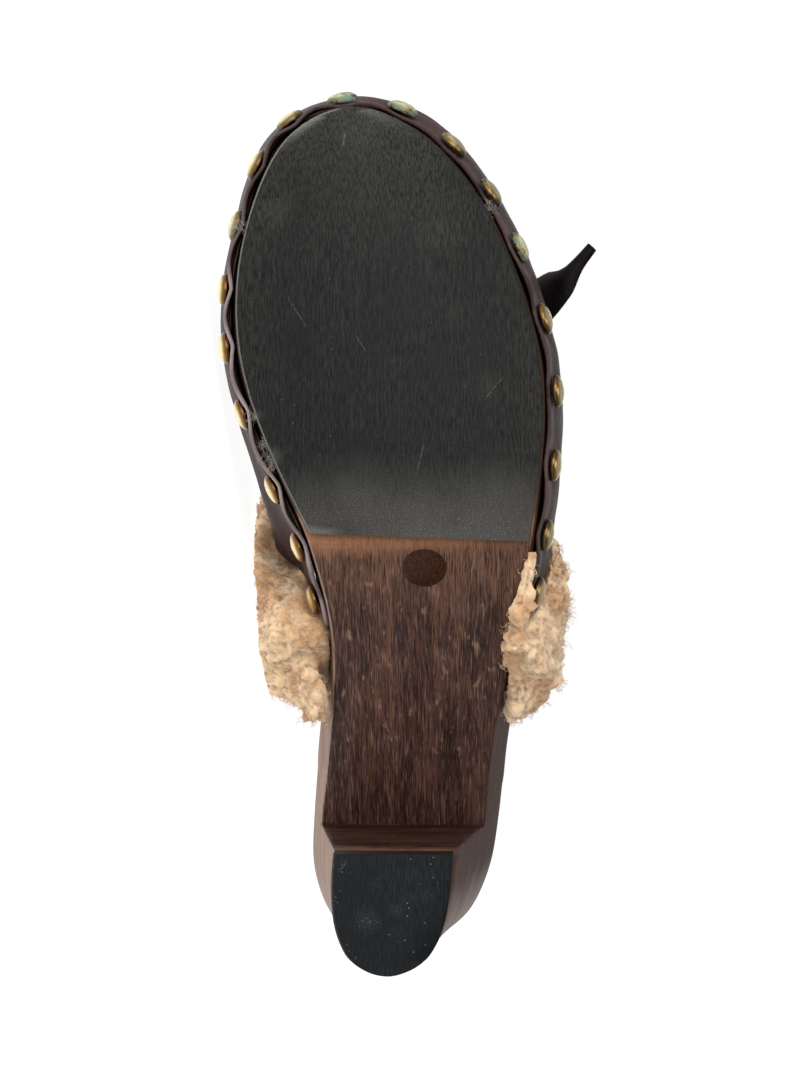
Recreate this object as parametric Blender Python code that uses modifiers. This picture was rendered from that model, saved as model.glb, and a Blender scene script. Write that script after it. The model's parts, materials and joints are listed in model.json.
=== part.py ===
# Shearling clog, left shoe: a wooden heeled sole with a nailed leather upper, a fleece cuff and a bow.
# The shoe is modelled in its own frame and then laid on its inner side.
# Shoe frame, in millimetres: X forward from the back of the heel, Y to the outer side, Z up from the ground.

import math
import random

import bmesh
import bpy
import numpy as np
from mathutils import Matrix, Vector, geometry
from mathutils.bvhtree import BVHTree

MM = 0.001
GAP = 0.4                     # clearance between pieces that touch
FLAT_GAP = 0.3                # clearance between flat pieces that touch
MERGE = 0.02                  # points closer than this become one
CUT_MERGE = 0.05              # the same after a cut
SHARP_ANGLE = 35.0            # edges sharper than this stay crisp

# Sole
OUTLINE_POINTS = 96           # round the sole, from the back of the heel; the middle one is at the toe
TOE = OUTLINE_POINTS // 2
HEEL_POINTS = 8               # points on each side that make the round of the heel
RUBBER = 3.0                  # thickness of the half-sole
TAP = 6.0                     # thickness of the heel tap
BREAST_X = 41.0               # front face of the heel
SHANK_TOP = 52.0              # height of the shank's underside at the breast
SHANK_END_X = 121.0           # where the shank's underside meets the forefoot
SPRING_START_X = 188.0        # the tread is flat up to here
TOE_TIP_X = 234.0
TOE_SPRING = 9.0              # rise of the tread at the tip of the toe
EDGE_ROUND = 2.0              # rounding of the footbed's rim
DISH = 3.5                    # depth of the footbed's hollow
DISH_WIDTH = 40.0             # the hollow grows shallower where the footbed is narrower than this
TREAD_BEVEL = 0.6             # on the lower edges of the rubber pieces
TREAD_INSET = 0.5             # of the half-sole from the edge of the wood
TAP_INSET = 0.3
REAR_SLANT = 2.0              # the half-sole's rear edge runs forward by this much on the inner side
TREAD_STATIONS = 15           # cross sections of the half-sole, closer together towards the toe
TAP_STATIONS = 11
NARROW_PART = 0.2             # bevels and insets take at most this part of a narrow place
SAW_PAST = 4.0                # how far the arch's cutter runs past the shank, down and out at the sides
SAW_BELOW = -20.0
SAW_REACH = 70.0
WALL_RINGS = (0.0, 0.35, 0.7)   # rings up the side of the wood, as parts of its height
DISH_RINGS = ((0.3, 0.55), (0.65, 0.9), (1.0, 1.0))   # part of the way to the middle, part of the depth

# x, inner edge, outer edge of the wood at the footbed
RIM_ROWS = (
    (7, -20.6, 16.6), (22, -27.6, 25.1), (41, -27.1, 28.4), (65, -24.3, 30.6), (94, -20.6, 35.6),
    (121, -25.5, 39.3), (138, -33.0, 41.3), (155, -40.0, 42.3), (170, -44.2, 41.2), (188, -44.8, 36.4),
    (207, -41.2, 28.5), (220.5, -37.5, 20.2), (230.6, -32.4, 11.6), (236.7, -23.7, 1.6),
)
RIM_HEEL = (1.5, -2.5)
RIM_TOE = (239.7, -10.8)

# x, inner edge, outer edge of the wood at the ground; in the waist the walls are carried down past the shank
GROUND_ROWS = (
    (11.8, -9.6, 6.8), (16.5, -13.2, 10.9), (24, -15.4, 13.8), (41, -15.5, 15.9), (65, -13.4, 19.8),
    (94, -14.0, 28.6), (121, -21.6, 35.8), (138, -29.0, 37.8), (155, -35.9, 38.9), (170, -39.8, 37.6),
    (188, -40.3, 32.4), (206, -36.8, 24.6), (218, -32.6, 16.3), (226.5, -27.6, 8.0), (231.8, -20.8, -0.4),
)
GROUND_HEEL = (9.5, -0.9)
GROUND_TOE = (234.4, -10.8)

# x, height of the footbed's rim
FOOTBED_ROWS = ((0, 88), (20, 86.5), (41, 80), (60, 69.5), (80, 56), (100, 43), (120, 33), (150, 27),
                (180, 26), (215, 28.5), (236, 32), (242, 33))

# Upper
LEATHER = 2.0
UPPER_BACK_INNER_X = 92.0     # rear corner of the upper's nailed edge, inner side
UPPER_BACK_OUTER_X = 89.0
EDGE_PART = 0.10              # the nailed edge and the nails, as parts of the height of the wood's side
NAIL_PART = 0.36
LEAN_X = 20.0                 # how far the topline leans forward between the nailed edge and the rim
LEAN_END_X = 152.0            # ribs forward of this stand upright
LEAN_FADE = 1.3               # powers that shape how the lean fades forward, how it starts, and the bulge
LEAN_SHAPE = 0.6
SWELL_SHAPE = 0.7
RIDGE_ROWS = ((140, 90.0), (160, 85.0), (180, 79.0), (196, 73.0), (208, 67.5), (216, 63.0))  # x, height
# x of a rib at the rim, x of its end on the ridge, inner bulge, outer bulge
RIB_ROWS = ((113, 140, 11.5, 2.0), (127, 147, 8.0, 1.6), (150, 162, 3.2, 0.8), (168, 175, 2.0, 0.4),
            (188, 189, 1.8, 0.4), (206, 201, 1.8, 0.8), (224, 210, 1.8, 1.2), (243, 216, 1.6, 1.6))
TOE_TURN = 26.0               # how much earlier, in degrees, the ribs of the toe meet the sloping ridge
VAMP_EASE_Z = 50.0            # the vamp is evened out above this height
VAMP_EASE_TURNS = 6
VAMP_INSIDE = (170, -2, 45)   # a point inside the foot's room
WALL_PARTS = (EDGE_PART, NAIL_PART, 0.68, 1.0)
ARCH_ANGLES = (7, 16, 26, 37, 48, 59, 70, 80, 90)

# Nails
# parts of the way from the inner rear corner to the toe, and from the toe to the outer corner
INNER_NAILS = (0.0, 0.107, 0.22, 0.358, 0.475, 0.575, 0.687, 0.80, 0.90, 1.0)
OUTER_NAILS = (0.103, 0.21, 0.313, 0.416, 0.539, 0.658, 0.781, 0.893, 1.0)
NAIL_RADIUS = 4.25
NAIL_HEIGHT = 2.6
NAIL_MARGINS = (3.6, 12.5)    # from the upper's inner and outer rear corners to the nearest nail
NAIL_FOOT = 0.5               # straight part under the dome
TOE_NAIL_SHIFT = 3.4          # the foremost nail lies this far from the tip of the toe, on the inner side
NAIL_SIDES = 12
NAIL_RINGS = 3

# Cuff
# part of the way along the topline, half width, half thickness, how far the middle lies behind and outside
CUFF_ROWS = ((0.03, 15.5, 10.0, 12.0, 7.0), (0.10, 22.0, 11.0, 21.0, 6.5), (0.17, 27.0, 10.5, 26.0, 4.0),
             (0.3, 22.5, 11.0, 20.0, 2.0), (0.5, 15.0, 10.0, 12.0, 0.0), (0.7, 19.5, 10.0, 16.5, -2.0),
             (0.83, 22.5, 9.5, 18.0, -4.0), (0.93, 19.5, 8.5, 13.0, -1.0), (1.0, 17.0, 7.5, 7.5, 0.0))
CUFF_GAP = 0.6                # clearance of the fleece round its neighbours
CUFF_STATIONS = 30
CUFF_LOCKS = 11               # locks round each station
LOCK_RADIUS = (4.6, 6.6)
CUFF_VOXEL = 2.4
CUFF_KEEP = 0.285             # part of the faces that is kept
COLLAR_MIDDLE = (120, 4, 50)
CORE_INSET = 3.0              # the band's core lies this far inside its locks
CORE_LENGTH = 7.0
LOCK_SINK = 0.6               # part of a lock's radius that is sunk in the core
LOCK_SHIFT = 3.0              # largest shift of a lock along the band
WAIST_X = 110.0

# Bow
BOW_X = 173.0                 # place of the knot along the ridge
RIBBON = 1.6                  # thickness of the leather ribbon
RIBBON_WIDTH = 11.0
KNOT_SIZE = (6.5, 7.0, 4.4)   # half sizes along the shoe, across it and up
KNOT_UNDER = 0.55             # part of the knot's half height that lies under its middle
KNOT_SQUARE = 0.75            # below 1 makes the knot boxier
LOOP_ENDS = 0.62              # a loop's width at the knot and the extra at its turn, as parts of the ribbon's
LOOP_SWELL = 0.55
TAIL_STEPS = 3                # sections between two rows of a tail
# part of the way down the side from the ridge, height over the leather: a loop's turn
LOOP_ROWS = ((0.106, 3.9), (0.22, 4.2), (0.34, 4.2), (0.45, 4.6), (0.50, 7.0), (0.46, 10.0), (0.34, 11.8),
             (0.22, 10.4), (0.112, 6.2))
# x on the ridge, part of the way down the side, height over the leather, half width: a tail from knot to tip
TAIL_INNER_ROWS = ((174, 0.112, 1.25, 4.0), (178, 0.25, 1.25, 5.2), (183, 0.42, 1.25, 5.4),
                   (188, 0.54, 1.5, 4.4), (193, 0.64, 2.0, 1.8))
TAIL_OUTER_ROWS = ((174, 0.112, 1.25, 4.0), (177, 0.29, 1.25, 5.2), (182.5, 0.50, 1.25, 5.6),
                   (187, 0.66, 3.2, 6.0), (191, 0.74, 10.0, 5.0), (195, 0.77, 19.0, 1.8))


# Curves

def spline(rows, x):
    # smooth curve through rows of (x, value), with straight ends
    xs = [row[0] for row in rows]
    ys = [row[1] for row in rows]
    slopes = np.gradient(ys, xs)
    x = min(max(x, xs[0]), xs[-1])
    k = min(int(np.searchsorted(xs, x, side="right")) - 1, len(xs) - 2)
    step = xs[k + 1] - xs[k]
    t = (x - xs[k]) / step
    start = ys[k] + slopes[k] * step * t
    end = ys[k + 1] - slopes[k + 1] * step * (1 - t)
    blend = t * t * (3 - 2 * t)
    return start * (1 - blend) + end * blend


def column(rows, number, x):
    return spline([(row[0], row[number]) for row in rows], x)


def loop_through(points, steps=12):
    # closed centripetal curve through the points, finely sampled; the first point comes first
    points = [Vector(p) for p in points]
    count = len(points)
    fine = []
    for i in range(count):
        a, b, c, d = (points[(i + k) % count] for k in (-1, 0, 1, 2))
        ta = math.sqrt((b - a).length)
        tb = math.sqrt((c - b).length)
        tc = math.sqrt((d - c).length)
        leave = (c - b) + tb * ((b - a) / ta - (c - a) / (ta + tb))
        arrive = (c - b) + tb * ((d - c) / tc - (d - b) / (tb + tc))
        for j in range(steps):
            t = j / steps
            fine.append(b * (2 * t**3 - 3 * t**2 + 1) + leave * (t**3 - 2 * t**2 + t)
                        + c * (3 * t**2 - 2 * t**3) + arrive * (t**3 - t**2))
    return fine


def even(points, count):
    # the same open curve as count equal steps
    lengths = [0.0]
    for a, b in zip(points, points[1:]):
        lengths.append(lengths[-1] + (b - a).length)
    marks = np.linspace(0, lengths[-1], count + 1)
    axes = [np.interp(marks, lengths, [p[axis] for p in points]) for axis in (0, 1)]
    return [Vector(pair) for pair in zip(*axes)]


def outline(rows, heel, toe):
    # closed outline: heel, inner side, toe, outer side
    inner = [(x, low) for x, low, high in rows]
    outer = [(x, high) for x, low, high in reversed(rows)]
    fine = loop_through([heel] + inner + [toe] + outer)
    tip = fine.index(min(fine, key=lambda p: (p - Vector(toe)).length))
    first = even(fine[:tip + 1], TOE)
    second = even(fine[tip:] + fine[:1], OUTLINE_POINTS - TOE)
    return first[:-1] + second[:-1]


def footbed(x):
    return spline(FOOTBED_ROWS, x)


def spring(x):
    part = max(0.0, x - SPRING_START_X) / (TOE_TIP_X - SPRING_START_X)
    return TOE_SPRING * part * part


def shank(x):
    slope = (SHANK_TOP - RUBBER) / (SHANK_END_X - BREAST_X)
    return SHANK_TOP - slope * (x - BREAST_X)


def wood_bottom(x):
    # underside of the block before the arch is sawn out
    if x < (BREAST_X + SHANK_END_X) / 2:
        return TAP + FLAT_GAP
    return RUBBER + FLAT_GAP + spring(x)


def side_foot(x):
    # lowest point of the wood's side once the arch is cut
    return max(wood_bottom(x), shank(x)) if x > BREAST_X else wood_bottom(x)


RIM = outline(RIM_ROWS, RIM_HEEL, RIM_TOE)
GROUND = outline(GROUND_ROWS, GROUND_HEEL, GROUND_TOE)


def wood_side(i, z=None, part=None):
    # point on the wood's side at outline place i, at a height or at a part of the side's height
    low = int(math.floor(i)) % OUTLINE_POINTS
    high = (low + 1) % OUTLINE_POINTS
    t = i - math.floor(i)
    rim = RIM[low].lerp(RIM[high], t)
    ground = GROUND[low].lerp(GROUND[high], t)
    top = footbed(rim.x)
    bottom = wood_bottom(ground.x)
    if z is None:
        foot = side_foot(0.5 * (rim.x + ground.x))
        z = foot + (top - foot) * part
    plan = ground.lerp(rim, (z - bottom) / (top - bottom))
    return Vector((plan.x, plan.y, z))


def outline_normal(k):
    ahead = RIM[(k + 1) % OUTLINE_POINTS]
    behind = RIM[(k - 1) % OUTLINE_POINTS]
    run = ahead - behind
    return Vector((run.y, -run.x, 0)).normalized()


def side_normal(i):
    # level direction out of the wood's side at outline place i
    low = math.floor(i)
    return outline_normal(low).lerp(outline_normal(low + 1), i - low).normalized()


# Meshes and objects

def clear_scene():
    for old in list(bpy.data.objects):
        bpy.data.objects.remove(old, do_unlink=True)


def finish(name, colour, roughness, metallic=0.0):
    material = bpy.data.materials.new(name)
    material.use_nodes = True
    shader = material.node_tree.nodes["Principled BSDF"]
    shader.inputs["Base Color"].default_value = (*colour, 1)
    shader.inputs["Roughness"].default_value = roughness
    shader.inputs["Metallic"].default_value = metallic
    return material


def new_collection(name):
    collection = bpy.data.collections.new(name)
    bpy.context.scene.collection.children.link(collection)
    return collection


def place(name, mesh, collection, parent, material=None):
    piece = bpy.data.objects.new(name, mesh)
    collection.objects.link(piece)
    piece.parent = parent
    if material:
        mesh.materials.append(material)
    mesh.shade_smooth()
    mesh.set_sharp_from_angle(angle=math.radians(SHARP_ANGLE))
    return piece


def mesh_from(name, points, faces):
    # points in millimetres; doubles are merged and the faces turned outward
    work = bmesh.new()
    made = [work.verts.new(Vector(p) * MM) for p in points]
    for face in faces:
        corners = [made[k] for k in face]
        if len(set(corners)) > 2:
            work.faces.new(corners)
    bmesh.ops.remove_doubles(work, verts=work.verts, dist=MERGE * MM)
    bmesh.ops.dissolve_degenerate(work, edges=work.edges, dist=MERGE / 2 * MM)
    bmesh.ops.recalc_face_normals(work, faces=work.faces)
    mesh = bpy.data.meshes.new(name)
    work.to_mesh(mesh)
    work.free()
    return mesh


def ring_faces(rings, count, closed=True):
    # faces between rings of the same number of points
    faces = []
    span = count if closed else count - 1
    for r in range(rings - 1):
        for k in range(span):
            a = r * count + k
            b = r * count + (k + 1) % count
            faces.append((a, b, b + count, a + count))
    return faces


def tube_mesh(name, sections):
    # a solid through sections of equal count, with flat ends
    count = len(sections[0])
    points = [p for section in sections for p in section]
    last = len(points) - count
    ends = [tuple(range(count)), tuple(range(last, last + count))]
    return mesh_from(name, points, ring_faces(len(sections), count) + ends)


def toward_middle(ring, part, sink=0.0):
    # a ring drawn in to the line midway between its inner and outer sides
    drawn = []
    count = len(ring)
    for i, p in enumerate(ring):
        mate = ring[-i % count]
        middle = (p + mate) / 2
        width = min(1.0, (p - mate).length / DISH_WIDTH)
        q = p.lerp(middle, part)
        q.z = q.z - sink * width
        drawn.append(q)
    return drawn


# Sole

def wood_sole(shoe, cutters, root, material):
    rings = []
    for part in WALL_RINGS:
        ring = []
        for i in range(OUTLINE_POINTS):
            bottom = wood_bottom(GROUND[i].x)
            ring.append(wood_side(i, z=bottom + (footbed(RIM[i].x) - bottom) * part))
        rings.append(ring)
    for drop, draw in ((EDGE_ROUND, 0.0), (EDGE_ROUND * 0.3, EDGE_ROUND * 0.3), (0.0, EDGE_ROUND)):
        ring = []
        for i in range(OUTLINE_POINTS):
            p = wood_side(i, z=footbed(RIM[i].x) - drop)
            ring.append(p - side_normal(i) * draw)
        rings.append(ring)
    top = rings[-1]
    for part, sink in DISH_RINGS:
        rings.append(toward_middle(top, part, DISH * sink))
    floor = [toward_middle(rings[0], part) for part in (1.0, 0.5)]
    rings = floor + rings
    points = [p for ring in rings for p in ring]
    mesh = mesh_from("wood_sole", points, ring_faces(len(rings), OUTLINE_POINTS))
    sole = place("wood_sole", mesh, shoe, root, material)
    saw = sole.modifiers.new("arch", "BOOLEAN")
    saw.object = arch_cutter(cutters, root)
    saw.operation = "DIFFERENCE"
    saw.solver = "EXACT"
    return sole


def arch_cutter(cutters, root):
    # the waste that a band saw takes out between heel and forefoot
    past = SHANK_END_X + SAW_PAST
    profile = ((BREAST_X, SAW_BELOW), (BREAST_X, SHANK_TOP), (past, shank(past)), (past, SAW_BELOW))
    sections = [[Vector((x, y, z)) for x, z in profile] for y in (-SAW_REACH, SAW_REACH)]
    cutter = place("arch_cutter", tube_mesh("arch_cutter", sections), cutters, root)
    cutter.hide_render = True
    cutter.display_type = "WIRE"
    return cutter


def tread_sections(stations, low, high, bevel):
    # cross sections of a flat rubber piece, each a ring of six points from edge to edge
    sections = []
    for x, inner, outer in stations:
        lift = spring(x)
        side = min(bevel, (outer - inner) * NARROW_PART)
        sections.append([Vector((x, inner, high + lift)), Vector((x, inner, low + lift + bevel)),
                         Vector((x, inner + side, low + lift)), Vector((x, outer - side, low + lift)),
                         Vector((x, outer, low + lift + bevel)), Vector((x, outer, high + lift))])
    return sections


def crossing(ring, x, first, last):
    # y where a side of the outline passes x
    side = [ring[k % OUTLINE_POINTS] for k in range(first, last + 1)]
    side.sort(key=lambda p: p.x)
    return float(np.interp(x, [p.x for p in side], [p.y for p in side]))


def ground_width(x):
    return crossing(GROUND, x, 0, TOE), crossing(GROUND, x, TOE, OUTLINE_POINTS)


def rubber_station(x, inset):
    inner, outer = ground_width(x)
    inset = min(inset, (outer - inner) * NARROW_PART)
    return x, inner + inset, outer - inset


def eased_steps(start, end, count):
    # places from start to end, closer together towards the end
    return [start + (end - start) * math.sin(math.pi / 2 * k / (count - 1)) for k in range(count)]


def forefoot_outsole(shoe, root, material):
    rear = SHANK_END_X + FLAT_GAP
    tip = GROUND_TOE[0] - TREAD_INSET
    stations = [rubber_station(x, TREAD_INSET) for x in eased_steps(rear, tip, TREAD_STATIONS)]
    sections = tread_sections(stations, 0.0, RUBBER, TREAD_BEVEL)
    x, inner, outer = stations[0]
    for p in sections[0]:
        p.x += REAR_SLANT * (outer - p.y) / (outer - inner)
    return place("forefoot_outsole", tube_mesh("forefoot_outsole", sections), shoe, root, material)


def heel_tap(shoe, root, material):
    back = GROUND_HEEL[0] + TAP_INSET
    stations = [rubber_station(x, TAP_INSET) for x in eased_steps(BREAST_X, back, TAP_STATIONS)]
    sections = tread_sections(stations, 0.0, TAP, TREAD_BEVEL)
    return place("heel_tap", tube_mesh("heel_tap", sections), shoe, root, material)


# Upper

def place_on_rim(x, side):
    # outline place where the wood's side passes x, ahead of the heel, on the inner (-1) or outer (1) side
    if side < 0:
        places = list(range(HEEL_POINTS, TOE + 1))
    else:
        places = list(range(TOE, OUTLINE_POINTS - HEEL_POINTS))[::-1]
    return float(np.interp(x, [RIM[k].x for k in places], places))


RIB_FIRST = int(round(place_on_rim(UPPER_BACK_INNER_X, -1)))
RIB_LAST = int(round(place_on_rim(UPPER_BACK_OUTER_X, 1)))


def ridge(x):
    inner = crossing(RIM, x, 0, TOE)
    outer = crossing(RIM, x, TOE, OUTLINE_POINTS)
    return Vector((x, (inner + outer) / 2, spline(RIDGE_ROWS, x)))


class Rib:
    # one line of the upper from its nailed edge up over the foot to the ridge

    def __init__(self, start):
        side = -1 if start <= TOE else 1
        x = RIM[int(round(start)) % OUTLINE_POINTS].x
        lean = max(0.0, (LEAN_END_X - x) / (LEAN_END_X - UPPER_BACK_INNER_X))
        self.lean = min(1.0, lean) ** LEAN_FADE
        self.start = start
        self.on_rim = start
        if self.lean > 0:
            self.on_rim = place_on_rim(x + LEAN_X * self.lean, side)
        self.foot = self.on_wall(1.0)
        rim_x = self.foot.x
        self.top = ridge(column(RIB_ROWS, 1, rim_x))
        run = self.top - self.foot
        straight = max(0.0, -run.x) / math.hypot(run.x, run.y)
        self.sweep = math.radians(90 - TOE_TURN * straight**2)
        self.bulge = column(RIB_ROWS, 2 if side < 0 else 3, rim_x)

    def on_wall(self, part):
        # outer face of the leather beside the wood, at a part of the side's height
        climb = (part - EDGE_PART) / (1 - EDGE_PART)
        i = self.start + (self.on_rim - self.start) * climb
        return wood_side(i, part=part) + side_normal(i) * (LEATHER + GAP)

    def on_arch(self, angle):
        # outer face of the leather above the rim; the angle runs from 0 at the rim to 90 at the ridge
        swing = self.sweep * angle / 90
        rise = math.sin(swing) / math.sin(self.sweep)
        over = (1 - math.cos(swing)) / (1 - math.cos(self.sweep))
        along = over + (rise**LEAN_SHAPE - over) * self.lean
        swell = max(0.0, math.sin(math.pi * math.sqrt(angle / 90))) ** SWELL_SHAPE
        run = self.top - self.foot
        p = self.foot + Vector((run.x * along, run.y * over, run.z * rise))
        return p + side_normal(self.on_rim) * self.bulge * swell

    def points(self):
        wall = [self.on_wall(part) for part in WALL_PARTS]
        return wall + [self.on_arch(angle) for angle in ARCH_ANGLES]


RIBS = [Rib(i) for i in range(RIB_FIRST, RIB_LAST + 1)]


def rib_for_ridge(x, side):
    # a rib, between two outline places, that ends at x on the ridge
    places = range(RIB_FIRST, TOE) if side < 0 else range(RIB_LAST, TOE, -1)
    ends = [RIBS[k - RIB_FIRST].top.x for k in places]
    return Rib(float(np.interp(x, ends, list(places))))


def skin(vamp, x, side, down, height):
    # a point over the leather: x on the ridge, part of the way down the side, height over the surface
    angle = 90 * (1 - down)
    rib = rib_for_ridge(x, side)
    p = rib.on_arch(angle)
    along = rib_for_ridge(x + 2, side).on_arch(angle) - p
    upward = rib.on_arch(min(90, angle + 2)) - rib.on_arch(angle - 2)
    normal = along.cross(upward).normalized()
    centre = Vector((p.x, ridge(x).y, footbed(p.x)))
    if normal.dot(p - centre) < 0:
        normal = -normal
    seat = vamp.find_nearest(p)[0]
    return seat + normal * height, normal


def outer_face(mesh):
    # the upper's outer face in millimetres, to seat the bow on
    points = [v.co / MM for v in mesh.vertices]
    return BVHTree.FromPolygons(points, [tuple(face.vertices) for face in mesh.polygons])


def upper_surface(name):
    rows = [rib.points() for rib in RIBS]
    count = len(rows[0])
    middle = (len(rows) - 1) // 2
    for k in range(len(rows)):
        mate = rows[len(rows) - 1 - k][-1]
        if k < middle:
            rows[k][-1] = (rows[k][-1] + mate) / 2
            rows[len(rows) - 1 - k][-1] = rows[k][-1].copy()
    points = [p for row in rows for p in row]
    return mesh_from(name, points, ring_faces(len(rows), count, closed=False))


def ease_vamp(mesh):
    # evens out the top of the vamp, where the ribs run together, and turns all faces away from the foot
    work = bmesh.new()
    work.from_mesh(mesh)
    top = [v for v in work.verts if not v.is_boundary and v.co.z > VAMP_EASE_Z * MM]
    for turn in range(VAMP_EASE_TURNS):
        bmesh.ops.smooth_vert(work, verts=top, factor=0.5, use_axis_x=True, use_axis_y=True, use_axis_z=True)
    inside = Vector(VAMP_INSIDE) * MM
    votes = sum((f.calc_center_median() - inside).dot(f.normal) * f.calc_area() for f in work.faces)
    if votes < 0:
        bmesh.ops.reverse_faces(work, faces=work.faces)
    work.to_mesh(mesh)
    work.free()


def upper(shoe, root, material):
    mesh = upper_surface("upper")
    ease_vamp(mesh)
    vamp = outer_face(mesh)
    piece = place("upper", mesh, shoe, root, material)
    wall = piece.modifiers.new("leather", "SOLIDIFY")
    wall.thickness = LEATHER * MM
    wall.offset = -1.0
    wall.use_even_offset = True
    return piece, vamp


# Nails

def nail_places():
    # outline places of the nails along the upper's edge, from the inner rear corner round the toe
    line = [rib.on_wall(NAIL_PART) for rib in RIBS]
    lengths = [0.0]
    for a, b in zip(line, line[1:]):
        lengths.append(lengths[-1] + (b - a).length)
    toe = lengths[TOE - RIB_FIRST] - TOE_NAIL_SHIFT
    first, last = NAIL_MARGINS[0], lengths[-1] - NAIL_MARGINS[1]
    marks = [first + (toe - first) * part for part in INNER_NAILS]
    marks += [toe + (last - toe) * part for part in OUTER_NAILS]
    starts = [rib.start for rib in RIBS]
    return [float(np.interp(mark, lengths, starts)) for mark in marks]


def nail_frame(start):
    rib = Rib(start)
    seat = rib.on_wall(NAIL_PART)
    rise = rib.on_wall(NAIL_PART + 0.1) - rib.on_wall(NAIL_PART - 0.1)
    along = Rib(start + 0.5).on_wall(NAIL_PART) - Rib(start - 0.5).on_wall(NAIL_PART)
    out = rise.cross(along).normalized()
    if out.dot(side_normal(start)) < 0:
        out = -out
    across = rise.normalized()
    return seat, out, across


def nail(name, start, shoe, root, material):
    seat, out, across = nail_frame(start)
    third = out.cross(across)
    base = seat + out * GAP
    sections = []
    for ring in range(NAIL_RINGS):
        swing = math.radians(90 * ring / NAIL_RINGS)
        radius = NAIL_RADIUS * math.cos(swing)
        lift = NAIL_FOOT + (NAIL_HEIGHT - NAIL_FOOT) * math.sin(swing)
        sections.append([base + out * lift + (across * math.cos(turn) + third * math.sin(turn)) * radius
                         for turn in np.linspace(0, 2 * math.pi, NAIL_SIDES, endpoint=False)])
    foot = [p - out * NAIL_FOOT for p in sections[0]]
    mesh = tube_mesh(name, [foot] + sections)
    return place(name, mesh, shoe, root, material)


# Lying on the inner side

def resting_points():
    points = [wood_side(i, z=footbed(RIM[i].x) - EDGE_ROUND) for i in range(OUTLINE_POINTS)]
    for rib in RIBS:
        points += rib.points()
    for start in nail_places():
        seat, out, across = nail_frame(start)
        points.append(seat + out * (GAP + NAIL_HEIGHT))
    return points


def floor_line():
    # the line, seen from above the upright shoe, that bridges heel and ball on the inner side
    flat = [Vector((p.x, p.y)) for p in resting_points()]
    hull = [flat[k] for k in geometry.convex_hull_2d(flat)]
    for a, b in zip(hull, hull[1:] + hull[:1]):
        if (a.x - WAIST_X) * (b.x - WAIST_X) <= 0 and a.y + b.y < 0:
            return (a, b) if a.x < b.x else (b, a)


FLOOR_HEEL, FLOOR_BALL = floor_line()
FLOOR_RUN = (FLOOR_BALL - FLOOR_HEEL).normalized()
FLOOR_UP = Vector((-FLOOR_RUN.y, FLOOR_RUN.x, 0.0))


def above_floor(p):
    return (p - Vector((*FLOOR_HEEL, 0))).dot(FLOOR_UP)


# Cuff

def topline():
    # the upper's free edge from the inner corner over the ridge to the outer corner, with its outward normals
    inner = RIBS[0].points()
    outer = RIBS[-1].points()
    line = inner + outer[::-1][1:]
    mates = RIBS[1].points() + RIBS[-2].points()[::-1][1:]
    line[len(inner) - 1] = (inner[-1] + outer[-1]) / 2
    return line, [a - b for a, b in zip(line, mates)]


def along(points, part):
    place_at = part * (len(points) - 1)
    k = min(int(place_at), len(points) - 2)
    return points[k].lerp(points[k + 1], place_at - k)


def cuff_frame(line, backs, part):
    # middle of the band, direction across it to the rear, and direction out of the shoe
    p = along(line, part)
    run = (along(line, min(1, part + 0.03)) - along(line, max(0, part - 0.03))).normalized()
    back = along(backs, part)
    back = (back - run * back.dot(run)).normalized()
    out = run.cross(back)
    if out.dot(p - Vector(COLLAR_MIDDLE)) < 0:
        out = -out
    middle = p + back * column(CUFF_ROWS, 3, part) + out * column(CUFF_ROWS, 4, part)
    return middle, back, out


def cuff_mesh():
    # a band of fleece along the topline with locks all over it, melted into one skin
    draw = random.Random(7)
    line, backs = topline()
    work = bmesh.new()
    for k in range(CUFF_STATIONS):
        part = CUFF_ROWS[0][0] + (CUFF_ROWS[-1][0] - CUFF_ROWS[0][0]) * k / (CUFF_STATIONS - 1)
        middle, back, out = cuff_frame(line, backs, part)
        half_width = column(CUFF_ROWS, 1, part)
        half_thick = column(CUFF_ROWS, 2, part)
        core = Matrix((back, out, back.cross(out))).transposed().to_4x4()
        size = Matrix.Diagonal((half_width - CORE_INSET, half_thick - CORE_INSET, CORE_LENGTH, 1.0))
        spot = Matrix.Translation(middle) @ core @ size
        bmesh.ops.create_icosphere(work, subdivisions=2, radius=1.0, matrix=spot)
        for lock in range(CUFF_LOCKS):
            turn = 2 * math.pi * (lock + draw.random() * 0.8) / CUFF_LOCKS
            radius = draw.uniform(*LOCK_RADIUS)
            offset = back * math.cos(turn) * (half_width - radius * LOCK_SINK)
            offset = offset + out * math.sin(turn) * (half_thick - radius * LOCK_SINK)
            offset = offset + back.cross(out) * draw.uniform(-LOCK_SHIFT, LOCK_SHIFT)
            spot = Matrix.Translation(middle + offset)
            bmesh.ops.create_icosphere(work, subdivisions=1, radius=radius, matrix=spot)
    mesh = bpy.data.meshes.new("cuff_locks")
    work.to_mesh(mesh)
    work.free()
    mesh.transform(Matrix.Scale(MM, 4))
    return mesh


def evaluated(piece):
    graph = bpy.context.evaluated_depsgraph_get()
    return bpy.data.meshes.new_from_object(piece.evaluated_get(graph))


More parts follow.
